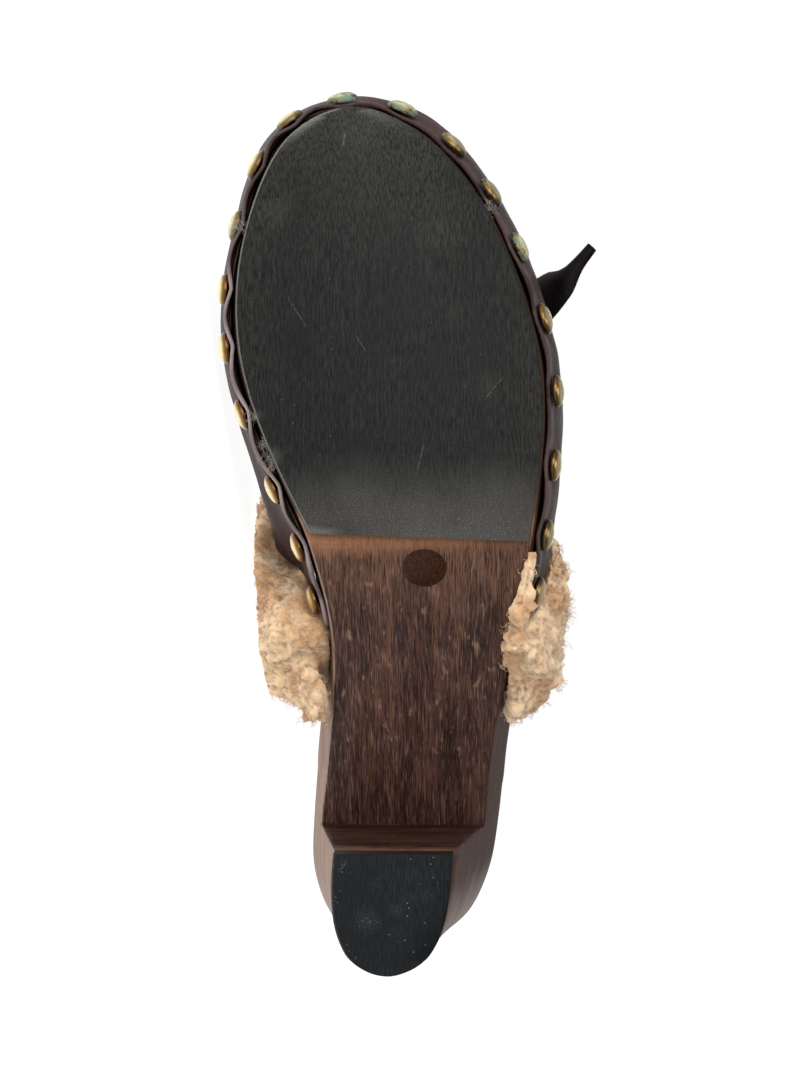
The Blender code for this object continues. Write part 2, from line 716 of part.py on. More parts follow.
def keep_largest(mesh):
    # drops crumbs that a cut leaves behind
    work = bmesh.new()
    work.from_mesh(mesh)
    bmesh.ops.remove_doubles(work, verts=work.verts, dist=CUT_MERGE * MM)
    bmesh.ops.dissolve_degenerate(work, edges=work.edges, dist=MERGE * MM)
    work.faces.index_update()
    work.faces.ensure_lookup_table()
    left = set(range(len(work.faces)))
    bodies = []
    while left:
        first = left.pop()
        body = [first]
        for number in body:
            for edge in work.faces[number].edges:
                pair = edge.link_faces if len(edge.link_faces) == 2 else ()
                for face in pair:
                    if face.index in left:
                        left.discard(face.index)
                        body.append(face.index)
        bodies.append(body)
    bodies.sort(key=len)
    crumbs = [work.faces[number] for body in bodies[:-1] for number in body]
    bmesh.ops.delete(work, geom=crumbs, context="FACES")
    work.to_mesh(mesh)
    work.free()


def swollen(piece, extra, cutters, root):
    # a copy of a piece, a little larger all round, to cut its room out of the fleece
    mesh = evaluated(piece)
    work = bmesh.new()
    work.from_mesh(mesh)
    bmesh.ops.recalc_face_normals(work, faces=work.faces)
    work.normal_update()
    moves = [(v, v.co + v.normal * v.calc_shell_factor() * extra * MM) for v in work.verts]
    for v, spot in moves:
        v.co = spot
    work.to_mesh(mesh)
    work.free()
    mesh.materials.clear()
    cutter = place(piece.name + "_room", mesh, cutters, root)
    cutter.hide_render = True
    cutter.display_type = "WIRE"
    return cutter


def shearling_cuff(shoe, cutters, root, material, neighbours):
    band = place("cuff_band", cuff_mesh(), cutters, root)
    melt = band.modifiers.new("melt", "REMESH")
    melt.mode = "VOXEL"
    melt.voxel_size = CUFF_VOXEL * MM
    ease = band.modifiers.new("ease", "SMOOTH")
    ease.factor = 0.5
    ease.iterations = 2
    thin = band.modifiers.new("thin", "DECIMATE")
    thin.ratio = CUFF_KEEP
    bpy.context.view_layer.update()
    mesh = evaluated(band)
    for v in mesh.vertices:
        sunk = above_floor(v.co / MM)
        if sunk < 0:
            v.co = v.co - FLOOR_UP * sunk * MM
    band.modifiers.clear()
    band.data = mesh
    for piece in neighbours:
        room = band.modifiers.new("room", "BOOLEAN")
        room.object = swollen(piece, CUFF_GAP, cutters, root)
        room.operation = "DIFFERENCE"
        room.solver = "EXACT"
    bpy.context.view_layer.update()
    mesh = evaluated(band)
    keep_largest(mesh)
    bpy.data.objects.remove(band, do_unlink=True)
    mesh.name = "shearling_cuff"
    mesh.materials.clear()
    return place("shearling_cuff", mesh, shoe, root, material)


# Bow

def ribbon_section(p, across, up, half_width, half_thick):
    return [p - across * half_width - up * half_thick, p + across * half_width - up * half_thick,
            p + across * half_width + up * half_thick, p - across * half_width + up * half_thick]


def bow_knot(vamp, shoe, root, material):
    under = KNOT_SIZE[2] * KNOT_UNDER
    seat, up = skin(vamp, BOW_X, 1, 0.0, GAP + under)
    mesh = bpy.data.meshes.new("bow_knot")
    work = bmesh.new()
    spot = Matrix.Translation(seat) @ up.to_track_quat("Z", "Y").to_matrix().to_4x4()
    bmesh.ops.create_uvsphere(work, u_segments=14, v_segments=9, radius=1.0)
    for v in work.verts:
        shaped = Vector([math.copysign(abs(c) ** KNOT_SQUARE, c) * half for c, half in zip(v.co, KNOT_SIZE)])
        shaped.z = max(shaped.z, -under)
        v.co = (spot @ shaped) * MM
    work.to_mesh(mesh)
    work.free()
    return place("bow_knot", mesh, shoe, root, material)


def bow_loop(name, side, vamp, shoe, root, material):
    # a ribbon that leaves the knot, turns over and comes back above itself
    route = []
    for down, height in LOOP_ROWS:
        p, up = skin(vamp, BOW_X, side, down, height)
        route.append(p)
    sections = []
    for k, p in enumerate(route):
        run = (route[min(k + 1, len(route) - 1)] - route[max(k - 1, 0)]).normalized()
        across = Vector((1, 0, 0))
        across = (across - run * across.dot(run)).normalized()
        part = k / (len(route) - 1)
        half = RIBBON_WIDTH / 2 * (LOOP_ENDS + LOOP_SWELL * math.sin(math.pi * part))
        sections.append(ribbon_section(p, across, run.cross(across), half, RIBBON / 2))
    return place(name, tube_mesh(name, sections), shoe, root, material)


def bow_tail(name, side, rows, vamp, shoe, root, material):
    # a ribbon end that lies over the vamp and narrows to its tip
    route = []
    ups = []
    spaced = [(number * TAIL_STEPS, *row) for number, row in enumerate(rows)]
    for k in range(spaced[-1][0] + 1):
        x, down, height, half = (column(spaced, number, k) for number in (1, 2, 3, 4))
        p, up = skin(vamp, x, side, down, height)
        route.append((p, half))
        ups.append(up)
    sections = []
    for k, (p, half) in enumerate(route):
        run = (route[min(k + 1, len(route) - 1)][0] - route[max(k - 1, 0)][0]).normalized()
        across = ups[k].cross(run).normalized()
        sections.append(ribbon_section(p, across, run.cross(across), half, RIBBON / 2))
    return place(name, tube_mesh(name, sections), shoe, root, material)


def lay_down(root, pieces):
    # turns the inner side to the floor, the tread to -Y and the toe to -X, over the middle of its footprint
    forward = Vector((FLOOR_RUN.x, FLOOR_RUN.y, 0))
    turn = Matrix((-forward, Vector((0, 0, 1)), FLOOR_UP)).to_4x4()
    root.matrix_world = turn
    bpy.context.view_layer.update()
    corners = []
    for piece in pieces:
        graph = bpy.context.evaluated_depsgraph_get()
        seen = piece.evaluated_get(graph)
        corners += [piece.matrix_world @ v.co for v in seen.data.vertices]
    low = Vector([min(c[axis] for c in corners) for axis in range(3)])
    high = Vector([max(c[axis] for c in corners) for axis in range(3)])
    middle = (low + high) / 2
    root.matrix_world = Matrix.Translation((-middle.x, -middle.y, -low.z)) @ turn


def main():
    clear_scene()
    shoe = new_collection("shearling_clog")
    cutters = new_collection("cutters")
    root = bpy.data.objects.new("shoe_frame", None)
    shoe.objects.link(root)

    wood = finish("stained_wood", (0.045, 0.022, 0.014), 0.38)
    rubber = finish("black_rubber", (0.022, 0.024, 0.024), 0.7)
    leather = finish("brown_leather", (0.040, 0.022, 0.021), 0.42)
    brass = finish("brass", (0.72, 0.50, 0.20), 0.28, 1.0)
    fleece = finish("shearling", (0.56, 0.38, 0.21), 0.95)

    sole = wood_sole(shoe, cutters, root, wood)
    pieces = [sole, forefoot_outsole(shoe, root, rubber), heel_tap(shoe, root, rubber)]
    body, vamp = upper(shoe, root, leather)
    pieces.append(body)
    nails = []
    for number, start in enumerate(nail_places(), 1):
        nails.append(nail(f"stud_{number:02d}", start, shoe, root, brass))
    bpy.context.view_layer.update()
    cuff = shearling_cuff(shoe, cutters, root, fleece, [sole, body, nails[0], nails[-1]])
    pieces += nails + [cuff]
    pieces.append(bow_knot(vamp, shoe, root, leather))
    pieces.append(bow_loop("bow_loop_inner", -1, vamp, shoe, root, leather))
    pieces.append(bow_loop("bow_loop_outer", 1, vamp, shoe, root, leather))
    pieces.append(bow_tail("bow_tail_inner", -1, TAIL_INNER_ROWS, vamp, shoe, root, leather))
    pieces.append(bow_tail("bow_tail_outer", 1, TAIL_OUTER_ROWS, vamp, shoe, root, leather))
    lay_down(root, pieces)


main()
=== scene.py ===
import json
import math
import random

import bmesh
import bpy
import numpy as np
from mathutils import Matrix, Vector, kdtree, noise
from mathutils.bvhtree import BVHTree


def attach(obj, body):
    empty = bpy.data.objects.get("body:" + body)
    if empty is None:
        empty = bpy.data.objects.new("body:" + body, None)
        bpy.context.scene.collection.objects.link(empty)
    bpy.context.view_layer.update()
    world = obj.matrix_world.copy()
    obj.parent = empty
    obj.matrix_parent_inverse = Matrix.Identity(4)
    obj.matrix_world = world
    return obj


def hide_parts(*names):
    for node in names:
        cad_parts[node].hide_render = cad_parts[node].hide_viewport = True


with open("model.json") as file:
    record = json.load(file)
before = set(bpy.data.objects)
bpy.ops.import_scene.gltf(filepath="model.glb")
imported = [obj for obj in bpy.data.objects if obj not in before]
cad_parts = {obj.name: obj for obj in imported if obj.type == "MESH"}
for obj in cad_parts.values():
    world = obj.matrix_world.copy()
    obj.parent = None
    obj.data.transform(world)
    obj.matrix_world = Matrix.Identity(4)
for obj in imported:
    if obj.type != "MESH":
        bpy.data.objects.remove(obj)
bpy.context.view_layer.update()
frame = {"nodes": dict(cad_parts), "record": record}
print("frame loaded:", len(frame["nodes"]), "nodes")

# The shoe's own axes, in millimetres: x forward from the back of the heel, y to the outer side,
# z up from the tread
mm = 0.001
heelMountX = 27.0
mounts = {mount["name"]: mount for mount in frame["record"]["mounts"]}
heelSpot = Vector(mounts["heel_rest"]["pos_m"])
forward = (Vector(mounts["forefoot_rest"]["pos_m"]) - heelSpot).normalized()
upward = -Vector(mounts["heel_rest"]["axis"]).normalized()
outward = upward.cross(forward)
shoeAxes = Matrix((forward, outward, upward)).transposed().to_4x4()
shoeAxes.translation = heelSpot - forward * heelMountX * mm
shoeToWorld = shoeAxes @ Matrix.Scale(mm, 4)
worldToShoe = shoeToWorld.inverted()
scene = bpy.context.scene


def newObject(name, data):
    made = bpy.data.objects.new(name, data)
    scene.collection.objects.link(made)
    return made


shoeFrame = newObject("shoeFrame", None)   # finishes take their places from here
shoeFrame.matrix_world = shoeAxes


def shoePoint(x, y, z):
    return shoeToWorld @ Vector((x, y, z))


# Camera, light and floor

cameraSetup = {"place": (126.6, 25.0, -530.0), "aim": (121.5, 2.5, 20.0), "lens": 69.0}
lightSetup = {
    # name: place in the shoe's millimetres; width in metres, watts, colour
    "mainBox": ((420, 160, -560), 0.55, 4.0, (1.0, 0.98, 0.95)),
    "outerBox": ((150, 480, -260), 0.30, 0.8, (1.0, 0.98, 0.95)),
    "toeBox": ((620, 60, -80), 0.45, 0.5, (1.0, 0.99, 0.97)),
}
lightAim = (140, 0, 20)   # the ball of the foot
floorSetup = {
    "size": 8.0,
    "paper": {"Base Color": (0.42, 0.42, 0.42, 1), "Roughness": 0.9, "Specular IOR Level": 0.1,
              "Emission Color": (1, 1, 1, 1), "Emission Strength": 0.92},
}
# a white wall behind the shoe, dimmer beside it
wallSetup = {"white": 1.0, "dim": 0.30, "angles": (22.0, 30.0)}


def turnTo(place, aim, up):
    back = (place - aim).normalized()
    side = up.cross(back).normalized()
    turned = Matrix((side, back.cross(side), back)).transposed().to_4x4()
    turned.translation = place
    return turned


def makeCamera():
    lens = bpy.data.cameras.new("camera")
    lens.lens = cameraSetup["lens"]
    lens.clip_start = 0.01
    camera = newObject("camera", lens)
    camera.matrix_world = turnTo(shoePoint(*cameraSetup["place"]), shoePoint(*cameraSetup["aim"]), forward)
    scene.camera = camera


def makeLights():
    aim = shoePoint(*lightAim)
    for name, (place, width, watts, colour) in lightSetup.items():
        lamp = bpy.data.lights.new(name, "AREA")
        lamp.size = width
        lamp.energy = watts
        lamp.color = colour
        box = newObject(name, lamp)
        box.matrix_world = turnTo(shoePoint(*place), aim, forward)


def makeWall():
    world = bpy.data.worlds.new("studio")
    world.use_nodes = True
    tree = world.node_tree
    coords = tree.nodes.new("ShaderNodeTexCoord")
    across = tree.nodes.new("ShaderNodeVectorMath")
    across.operation = "DOT_PRODUCT"
    across.inputs[1].default_value = upward
    tree.links.new(coords.outputs["Generated"], across.inputs[0])
    fade = tree.nodes.new("ShaderNodeMapRange")
    fade.interpolation_type = "SMOOTHSTEP"
    edges = [math.cos(math.radians(angle)) for angle in wallSetup["angles"]]
    limits = (edges[1], edges[0], wallSetup["dim"], wallSetup["white"])
    for socket, number in zip(list(fade.inputs)[1:5], limits):
        socket.default_value = number
    tree.links.new(across.outputs["Value"], fade.inputs[0])
    tree.links.new(fade.outputs[0], tree.nodes["Background"].inputs["Strength"])
    tree.nodes["Background"].inputs["Color"].default_value = (1, 1, 1, 1)
    scene.world = world


def makeFloor():
    half = floorSetup["size"] / 2
    mesh = bpy.data.meshes.new("floor")
    corners = [(-half, -half, 0), (half, -half, 0), (half, half, 0), (-half, half, 0)]
    mesh.from_pydata(corners, [], [(0, 1, 2, 3)])
    floor = newObject("floor", mesh)
    paper = bpy.data.materials.new("paper")
    paper.use_nodes = True
    for name, value in floorSetup["paper"].items():
        paper.node_tree.nodes["Principled BSDF"].inputs[name].default_value = value
    mesh.materials.append(paper)


makeCamera()
makeLights()
makeWall()
makeFloor()
scene.view_settings.view_transform = "Standard"
print("camera, light and floor set")


# Finishes

class Value:
    # one output in a material's tree, to reckon with as with a number or a colour

    def __init__(self, finish, socket):
        self.finish = finish
        self.socket = socket

    def maths(self, work, other=0.0):
        return self.finish.value("ShaderNodeMath", {0: self, 1: other}, operation=work)

    def __add__(self, other):
        return self.maths("ADD", other)

    def __sub__(self, other):
        return self.maths("SUBTRACT", other)

    def __mul__(self, other):
        return self.maths("MULTIPLY", other)

    def __pow__(self, other):
        return self.maths("POWER", other)

    def __abs__(self):
        return self.maths("ABSOLUTE")

    def most(self, other):
        return self.maths("MAXIMUM", other)

    def between(self, low, high, start=0.0, end=1.0):
        # a soft step from start to end, as the value goes from low to high
        inputs = {0: self, 1: low, 2: high, 3: start, 4: end}
        return self.finish.value("ShaderNodeMapRange", inputs, interpolation_type="SMOOTHSTEP")

    def toward(self, colour, amount):
        # this colour, and the other one where the amount is 1
        return self.finish.mix(amount, self, colour)

    def bump(self, depth):
        return self.finish.value("ShaderNodeBump", {"Height": self, "Distance": depth * mm})


class Finish:
    # one material; its textures are laid out in the shoe's own millimetres

    def __init__(self, name, look):
        self.look = look
        self.material = bpy.data.materials.new(name)
        self.material.use_nodes = True
        self.tree = self.material.node_tree
        self.shader = self.tree.nodes["Principled BSDF"]
        coords = self.value("ShaderNodeTexCoord", {}, "Object", object=shoeFrame)
        self.place = self.value("ShaderNodeVectorMath", {0: coords, "Scale": 1 / mm}, operation="SCALE")

    def value(self, kind, inputs, output=0, **settings):
        # an output of a new node
        made = self.tree.nodes.new(kind)
        for key, setting in settings.items():
            setattr(made, key, setting)
        for key, given in inputs.items():
            self.feed(made.inputs[key], given)
        return Value(self, made.outputs[output])

    def feed(self, socket, given):
        # with an output, with a tone by its name in the look, or with the value itself
        given = self.look[given] if isinstance(given, str) else given
        if isinstance(given, Value):
            self.tree.links.new(given.socket, socket)
        elif socket.type == "RGBA":
            socket.default_value = (*given, 1)
        else:
            socket.default_value = given

    def stretched(self, scale, shift):
        # places scaled along each axis, so that a small scale draws a pattern out
        scales = scale if isinstance(scale, tuple) else (scale, scale, scale)
        return self.value("ShaderNodeMapping", {"Vector": self.place, "Scale": scales, "Location": shift})

    def noise(self, scale, detail=3.0, rough=0.5, distort=0.0, shift=(0, 0, 0)):
        inputs = {"Vector": self.stretched(scale, shift), "Scale": 1.0, "Detail": detail,
                  "Roughness": rough, "Distortion": distort}
        return self.value("ShaderNodeTexNoise", inputs, "Fac")

    def cells(self, scale, feature="F1"):
        # how far the middle of the cell is, and a colour of its own for each cell
        inputs = {"Vector": self.stretched(scale, (0, 0, 0)), "Scale": 1.0}
        far = self.value("ShaderNodeTexVoronoi", inputs, "Distance", feature=feature)
        return far, Value(self, far.socket.node.outputs["Color"])

    def axis(self, number):
        return self.value("ShaderNodeSeparateXYZ", {0: self.place}, number)

    def mix(self, amount, a, b):
        return self.value("ShaderNodeMix", {0: amount, 6: a, 7: b}, 2, data_type="RGBA")

    def facing(self, direction):
        # 1 where the surface faces the direction, -1 where it faces away
        normal = self.value("ShaderNodeNewGeometry", {}, "Normal")
        return self.value("ShaderNodeVectorMath", {0: normal, 1: direction}, "Value", operation="DOT_PRODUCT")

    def attribute(self, name):
        return self.value("ShaderNodeAttribute", {}, "Fac", attribute_name=name)

    def wear(self, **sockets):
        # sockets by their names in small letters, such as base_color
        longNames = {"specular": "Specular IOR Level", "coat": "Coat Weight", "sheen": "Sheen Weight"}
        for key, given in sockets.items():
            self.feed(self.shader.inputs[longNames.get(key, key.replace("_", " ").title())], given)
        return self.material


treadDown = -upward   # the way the tread faces


def rubberFinish(name, look):
    rubber = Finish(name, look)
    x, y = rubber.axis(0), rubber.axis(1)
    weave = rubber.noise((0.32, 2.6, 2.6), 3, 0.6)             # short brushed strokes along the shoe
    lines = rubber.noise((0.035, 1.3, 1.3), 4, 0.6, shift=(3, 1, 0))
    grains = rubber.noise(1.9, 2, 0.6)
    broad = rubber.noise((0.035, 0.05, 0.05), 5, 0.65, shift=look["shift"])
    colour = rubber.mix(weave.between(0.40, 0.61), "dark", "worn")
    colour = colour.toward("dust", lines.between(0.52, 0.70) * look["lines"])
    colour = colour.toward("dark", broad.between(0.56, 0.40) * 0.45)
    # dust on the toe, in the brushed strokes
    toe = (x + broad * 40.0).between(205, 262) * weave.between(0.36, 0.60)
    colour = colour.toward("dust", toe * look["toeDust"])
    # band worn grey at the rear edge
    dots = rubber.noise(2.4, 4, 0.8)
    rear = (x + broad * 24.0).between(*look["rear"]) * dots.between(0.52, 0.66, 0.30, 1.0)
    colour = colour.toward("grey", rear * look["rearDust"])
    colour = colour.toward("grey", grains.between(0.60, 0.74) * look["grit"])
    # pale specks, in clusters
    far, cellColour = rubber.cells(0.62)
    cluster = rubber.noise((0.07, 0.09, 0.09), 3, 0.6, shift=look["shift"]).between(*look["clusters"])
    picked = rubber.value("ShaderNodeSeparateColor", {0: cellColour}).between(*look["specks"])
    specks = far.between(0.16, 0.05) * cluster * picked
    colour = colour.toward("speck", specks * look["speckShow"])
    # patches of fine pale dust
    powder = rubber.noise(1.5, 5, 0.8, shift=(1, 5, 0)).between(0.55, 0.68)
    for spotX, spotY, radius, show in look["smudges"]:
        away = ((x - spotX) ** 2.0 + (y - spotY) ** 2.0).maths("SQRT") + broad * 3.0
        patch = away.between(radius + 1.5, radius * 0.3) * powder.between(0, 1, look["haze"], 1.0)
        colour = colour.toward("speck", patch * show)
    for spotX, spotY, length, angle, width in look["scratches"]:
        cos, sin = math.cos(math.radians(angle)), math.sin(math.radians(angle))
        overX, overY = x - spotX, y - spotY
        along = overX * cos + overY * sin
        across = overY * cos - overX * sin + (broad - 0.5) * 3.0
        line = abs(across).between(width, width * 0.3) * abs(along).between(length / 2, length / 4)
        colour = colour.toward("grey", line * grains.between(0.35, 0.6) * 0.45)
    # paler towards the sides; along the inner edge, a pale line on the bevel that is partly dust and partly
    # painted highlight
    colour = colour.toward("dust", abs(y).between(22, 42) * weave.between(0.36, 0.60) * 0.22)
    edge = rubber.facing(treadDown).between(0.86, 0.74) * y.between(8, -22) * grains.between(0.25, 0.5)
    colour = colour.toward("edgeDustAndHighlight", edge * look["edge"])
    relief = weave * 0.6 + grains * 0.5
    return rubber.wear(base_color=colour, roughness=broad.between(0.35, 0.65, *look["gloss"]),
                       specular=0.10, normal=relief.bump(look["relief"]))


halfSoleLook = {
    "dark": (0.0056, 0.0066, 0.0066), "worn": (0.0160, 0.0170, 0.0160), "dust": (0.047, 0.043, 0.036),
    "grey": (0.135, 0.128, 0.116), "speck": (0.14, 0.135, 0.12), "edgeDustAndHighlight": (0.17, 0.175, 0.165),
    "toeDust": 0.60, "lines": 0.22, "rear": (158.0, 132.0), "rearDust": 0.95, "grit": 0.10,
    "clusters": (0.42, 0.60), "specks": (0.66, 0.78), "speckShow": 0.45, "haze": 0.30, "edge": 0.75,
    "gloss": (0.50, 0.66), "relief": 0.10, "shift": (0, 0, 0),
    # x, y, length, angle from the shoe's length, width
    "scratches": ((180.2, -24.4, 11.0, -28.7, 0.20), (143.0, 7.5, 8.0, 14.0, 0.26),
                  (160.5, 26.0, 9.0, 40.0, 0.20), (172.0, -8.0, 6.0, -30.0, 0.18),
                  (225.5, -13.0, 4.0, 12.0, 0.35)),
    # x, y, radius, strength
    "smudges": ((153.5, -35.0, 2.5, 0.90), (143.0, -31.0, 4.0, 1.00), (228.0, -8.0, 9.0, 0.16),
                (206.0, -30.0, 6.0, 0.18), (200.0, 12.0, 8.0, 0.10), (161.0, 24.0, 6.0, 0.14),
                (180.0, 16.0, 5.0, 0.10)),
}
heelTapLook = {
    "dark": (0.0052, 0.0064, 0.0076), "worn": (0.0125, 0.0138, 0.0155), "dust": (0.040, 0.042, 0.042),
    "grey": (0.10, 0.105, 0.105), "speck": (0.22, 0.23, 0.23), "edgeDustAndHighlight": (0.07, 0.07, 0.068),
    "toeDust": 0.0, "lines": 0.12, "rear": (1.0, 0.0), "rearDust": 0.0, "grit": 0.10,
    "clusters": (0.44, 0.58), "specks": (0.40, 0.60), "speckShow": 0.60, "haze": 0.04, "edge": 0.40,
    "gloss": (0.40, 0.56), "relief": 0.07, "shift": (7, 3, 0),
    "scratches": ((38.0, -12.8, 4.0, 35.0, 0.3),),
    "smudges": ((24.0, -6.5, 4.5, 0.80), (38.8, -12.6, 2.2, 0.60), (40.6, 5.7, 1.0, 0.80),
                (35.7, 4.6, 3.0, 0.35), (30.6, 8.9, 3.0, 0.45), (26.5, 1.2, 3.5, 0.50),
                (33.0, -4.0, 3.0, 0.30), (20.5, 1.0, 3.5, 0.25)),
}
halfSoleRubber = rubberFinish("halfSoleRubber", halfSoleLook)
heelTapRubber = rubberFinish("heelTapRubber", heelTapLook)

woodLook = {
    "pore": (0.0090, 0.0040, 0.0034), "deep": (0.0175, 0.0074, 0.0062), "stain": (0.0850, 0.0392, 0.0300),
    "fleck": (0.225, 0.138, 0.102), "warm": (0.270, 0.122, 0.062), "amber": (0.190, 0.092, 0.050),
    "flank": (0.037, 0.0155, 0.0100), "flankLight": (0.072, 0.032, 0.021),
    "flankPaleReflection": (0.380, 0.310, 0.275), "flankLitInner": (0.350, 0.245, 0.195),
    "weltAndShade": (0.050, 0.029, 0.021), "breast": (0.066, 0.032, 0.0225), "bare": (0.30, 0.205, 0.155),
    "stripX": 119.5,              # from about here forward the wood behind the half-sole is bare
}


def woodFinish(name, look, chippedAndLit):
    wood = Finish(name, look)
    x, y, z = (wood.axis(number) for number in range(3))
    under = wood.facing(treadDown).between(0.35, 0.70)
    # streaks along the grain, fine and broad
    streaks = wood.noise((0.20, 3.1, 0.05), 5, 0.72)
    broad = wood.noise((0.025, 0.40, 0.02), 4, 0.6)
    cloud = wood.noise((0.045, 0.09, 0.03), 3, 0.6, shift=(3, 7, 0))
    tone = streaks * 0.55 + broad * 0.25 + cloud * 0.20
    colour = wood.mix(tone.between(0.42, 0.58), "deep", "stain")
    pores = wood.noise((0.22, 3.6, 0.05), 2, 0.5, shift=(4, 0, 0)).between(0.55, 0.64)
    colour = colour.toward("pore", pores * 0.75)
    glow = wood.noise((0.035, 0.30, 0.02), 3, 0.6, shift=(6, 2, 0)).between(0.54, 0.70)
    colour = colour.toward("amber", glow * streaks.between(0.40, 0.56) * under * 0.55)
    # pale flecks, longer than wide, most of them towards the middle of the shank
    flecks = wood.noise((0.26, 0.52, 0.03), 2, 0.5, shift=(2, 5, 0)).between(0.60, 0.74)
    flecks = flecks * streaks.between(0.36, 0.54, 0.15, 1.0)
    flecks = flecks * x.between(120, 108, 0.4, 1.0) * x.between(52, 70, 0.25, 1.0)
    colour = colour.toward("fleck", flecks * under * 0.75)
    light = wood.noise((0.16, 2.4, 0.05), 2, 0.5, shift=(9, 4, 2)).between(0.58, 0.68)
    colour = colour.toward("fleck", light * under * 0.45)
    # bare strip behind the half-sole, wider towards the inner side
    fading = x.between(97, 121) * streaks.between(0.36, 0.56) * under
    colour = colour.toward("amber", fading * 0.45)
    start = x + wood.noise((0.15, 0.5, 0.5)) * 6.0 - y * 0.06
    strip = start.between(look["stripX"], look["stripX"] + 6.0) * under
    colour = colour.toward("warm", strip * streaks.between(0.28, 0.48, 0.45, 1.0) * 0.92)
    # smooth flanks of heel and platform
    flank = abs(wood.facing(outward)).between(0.45, 0.75).most(wood.facing(-forward).between(0.74, 0.90))
    rays = wood.noise((0.06, 0.5, 0.55), 4, 0.6, 0.8).between(0.38, 0.62)
    side = wood.mix(rays, "flank", "flankLight")
    # the inner flank, which faces the floor, painted a paler tan: painted light
    side = side.toward("flankLitInner", y.between(-2, -14) * rays.between(0, 1, 0.6, 1.0))
    # paler towards the back of the heel: a painted reflection
    wearAndReflection = x + wood.noise((0.05, 0.1, 0.1)) * 14.0
    side = side.toward("flankPaleReflection", wearAndReflection.between(38, 18) * 0.85)
    colour = colour.toward(side, flank * 0.95)
    # breast of the heel, with its own grain and a worn lower edge
    breast = wood.facing(forward).between(0.6, 0.85)
    rings = wood.noise((0.5, 0.05, 0.9), 4, 0.6, 0.3)
    low = z + wood.noise((0.1, 0.15, 0.3)) * 10.0
    worn = wood.mix(rings.between(0.36, 0.64), "deep", "breast")
    colour = colour.toward(worn.toward("warm", low.between(20, 8) * 0.6), breast)
    # darker where the wood shows between half-sole and leather: the dark side of the wood, with painted shade
    # of the narrow gap
    colour = colour.toward("weltAndShade", x.between(126.0, 130.0) * 0.85)
    if chippedAndLit:
        # pale on the bevel: chips of bare wood here and there, and along the inner edge a pale line that is
        # painted highlight
        chipsAndHighlight = wood.noise((0.12, 0.6, 0.6)).between(0.36, 0.62).most(y.between(-18, -26))
        colour = colour.toward("bare", chipsAndHighlight * x.between(146, 120) * 0.85)
    relief = streaks * 0.7 + pores * -0.6
    smooth = flank.most(breast)
    return wood.wear(base_color=colour, roughness=smooth.between(0, 1, 0.50, 0.45),
                     specular=smooth.between(0, 1, 0.18, 0.02), normal=relief.bump(0.11))


stainedWood = woodFinish("stainedWood", woodLook, False)
woodEdgeWornAndLit = woodFinish("woodEdgeWornAndLit", woodLook, True)

# rim is the colour of the painted highlight on the leather's edge below the nails
leatherLook = {
    "deep": (0.0190, 0.0098, 0.0092), "brown": (0.0540, 0.0300, 0.0280), "worn": (0.130, 0.086, 0.076),
    "rim": (0.50, 0.400, 0.415), "wearAndReflection": 0.55, "specular": 0.10, "coat": 0.02, "wrinkles": 5.0,
}
bowLook = {
    "deep": (0.0022, 0.0016, 0.0016), "brown": (0.0060, 0.0040, 0.0038), "worn": (0.020, 0.014, 0.013),
    "wearAndReflection": 0.35, "specular": 0.05, "coat": 0.0, "wrinkles": 1.6,
}


def leatherFinish(name, look):
    leather = Finish(name, look)
    tone = leather.noise((0.05, 0.06, 0.06), 4, 0.6)
    colour = leather.mix(tone.between(0.34, 0.66), "deep", "brown")
    scuffs = leather.noise(0.16, 5, 0.7).between(0.56, 0.72) * leather.noise(1.1, 3, 0.6).between(0.40, 0.62)
    colour = colour.toward("worn", scuffs * look["wearAndReflection"])
    if "rim" in look:
        # painted highlight, pale mauve, where the edge below the nails turns towards the tread
        lit = leather.facing(treadDown).between(-0.02, 0.18) * leather.attribute("rim")
        lit = lit * leather.axis(1).between(-5, -25, 0.1, 1.0) * leather.axis(0).between(215, 175, 0.1, 1.0)
        colour = colour.toward("rim", lit * tone.between(0.30, 0.48) * 0.85)
    grain = leather.cells(0.75, "SMOOTH_F1")[0]
    wrinkles = leather.noise(0.35, 4, 0.65, 0.6)
    relief = grain * 0.8 + leather.noise(2.2, 3, 0.6) * 0.4 + wrinkles * look["wrinkles"]
    return leather.wear(base_color=colour, roughness=tone.between(0.3, 0.7, 0.40, 0.54),
                        specular=look["specular"], coat=look["coat"], coat_roughness=0.3,
                        normal=relief.bump(0.10))


upperLeather = leatherFinish("upperLeather", leatherLook)
bowLeather = leatherFinish("bowLeather", bowLook)

rawEdgeLook = {"deep": (0.036, 0.020, 0.015), "pale": (0.150, 0.086, 0.060), "frayed": (0.26, 0.150, 0.075)}


def rawEdgeFinish():
    edge = Finish("rawLeatherEdge", rawEdgeLook)
    fibres = edge.noise((0.8, 0.8, 2.5), 4, 0.7)
    colour = edge.mix(fibres.between(0.35, 0.65), "deep", "pale")
    frayed = edge.axis(1).between(15, 25) * edge.axis(0).between(168, 156)
    colour = colour.toward("frayed", frayed * fibres.between(0.40, 0.58))
    return edge.wear(base_color=colour, roughness=0.75, specular=0.25, normal=fibres.bump(0.2))


rawLeatherEdge = rawEdgeFinish()

brassLook = {"gold": (0.94, 0.74, 0.36), "pale": (0.99, 0.87, 0.56), "tarnish": (0.14, 0.070, 0.022),
             "patina": (0.10, 0.19, 0.13)}


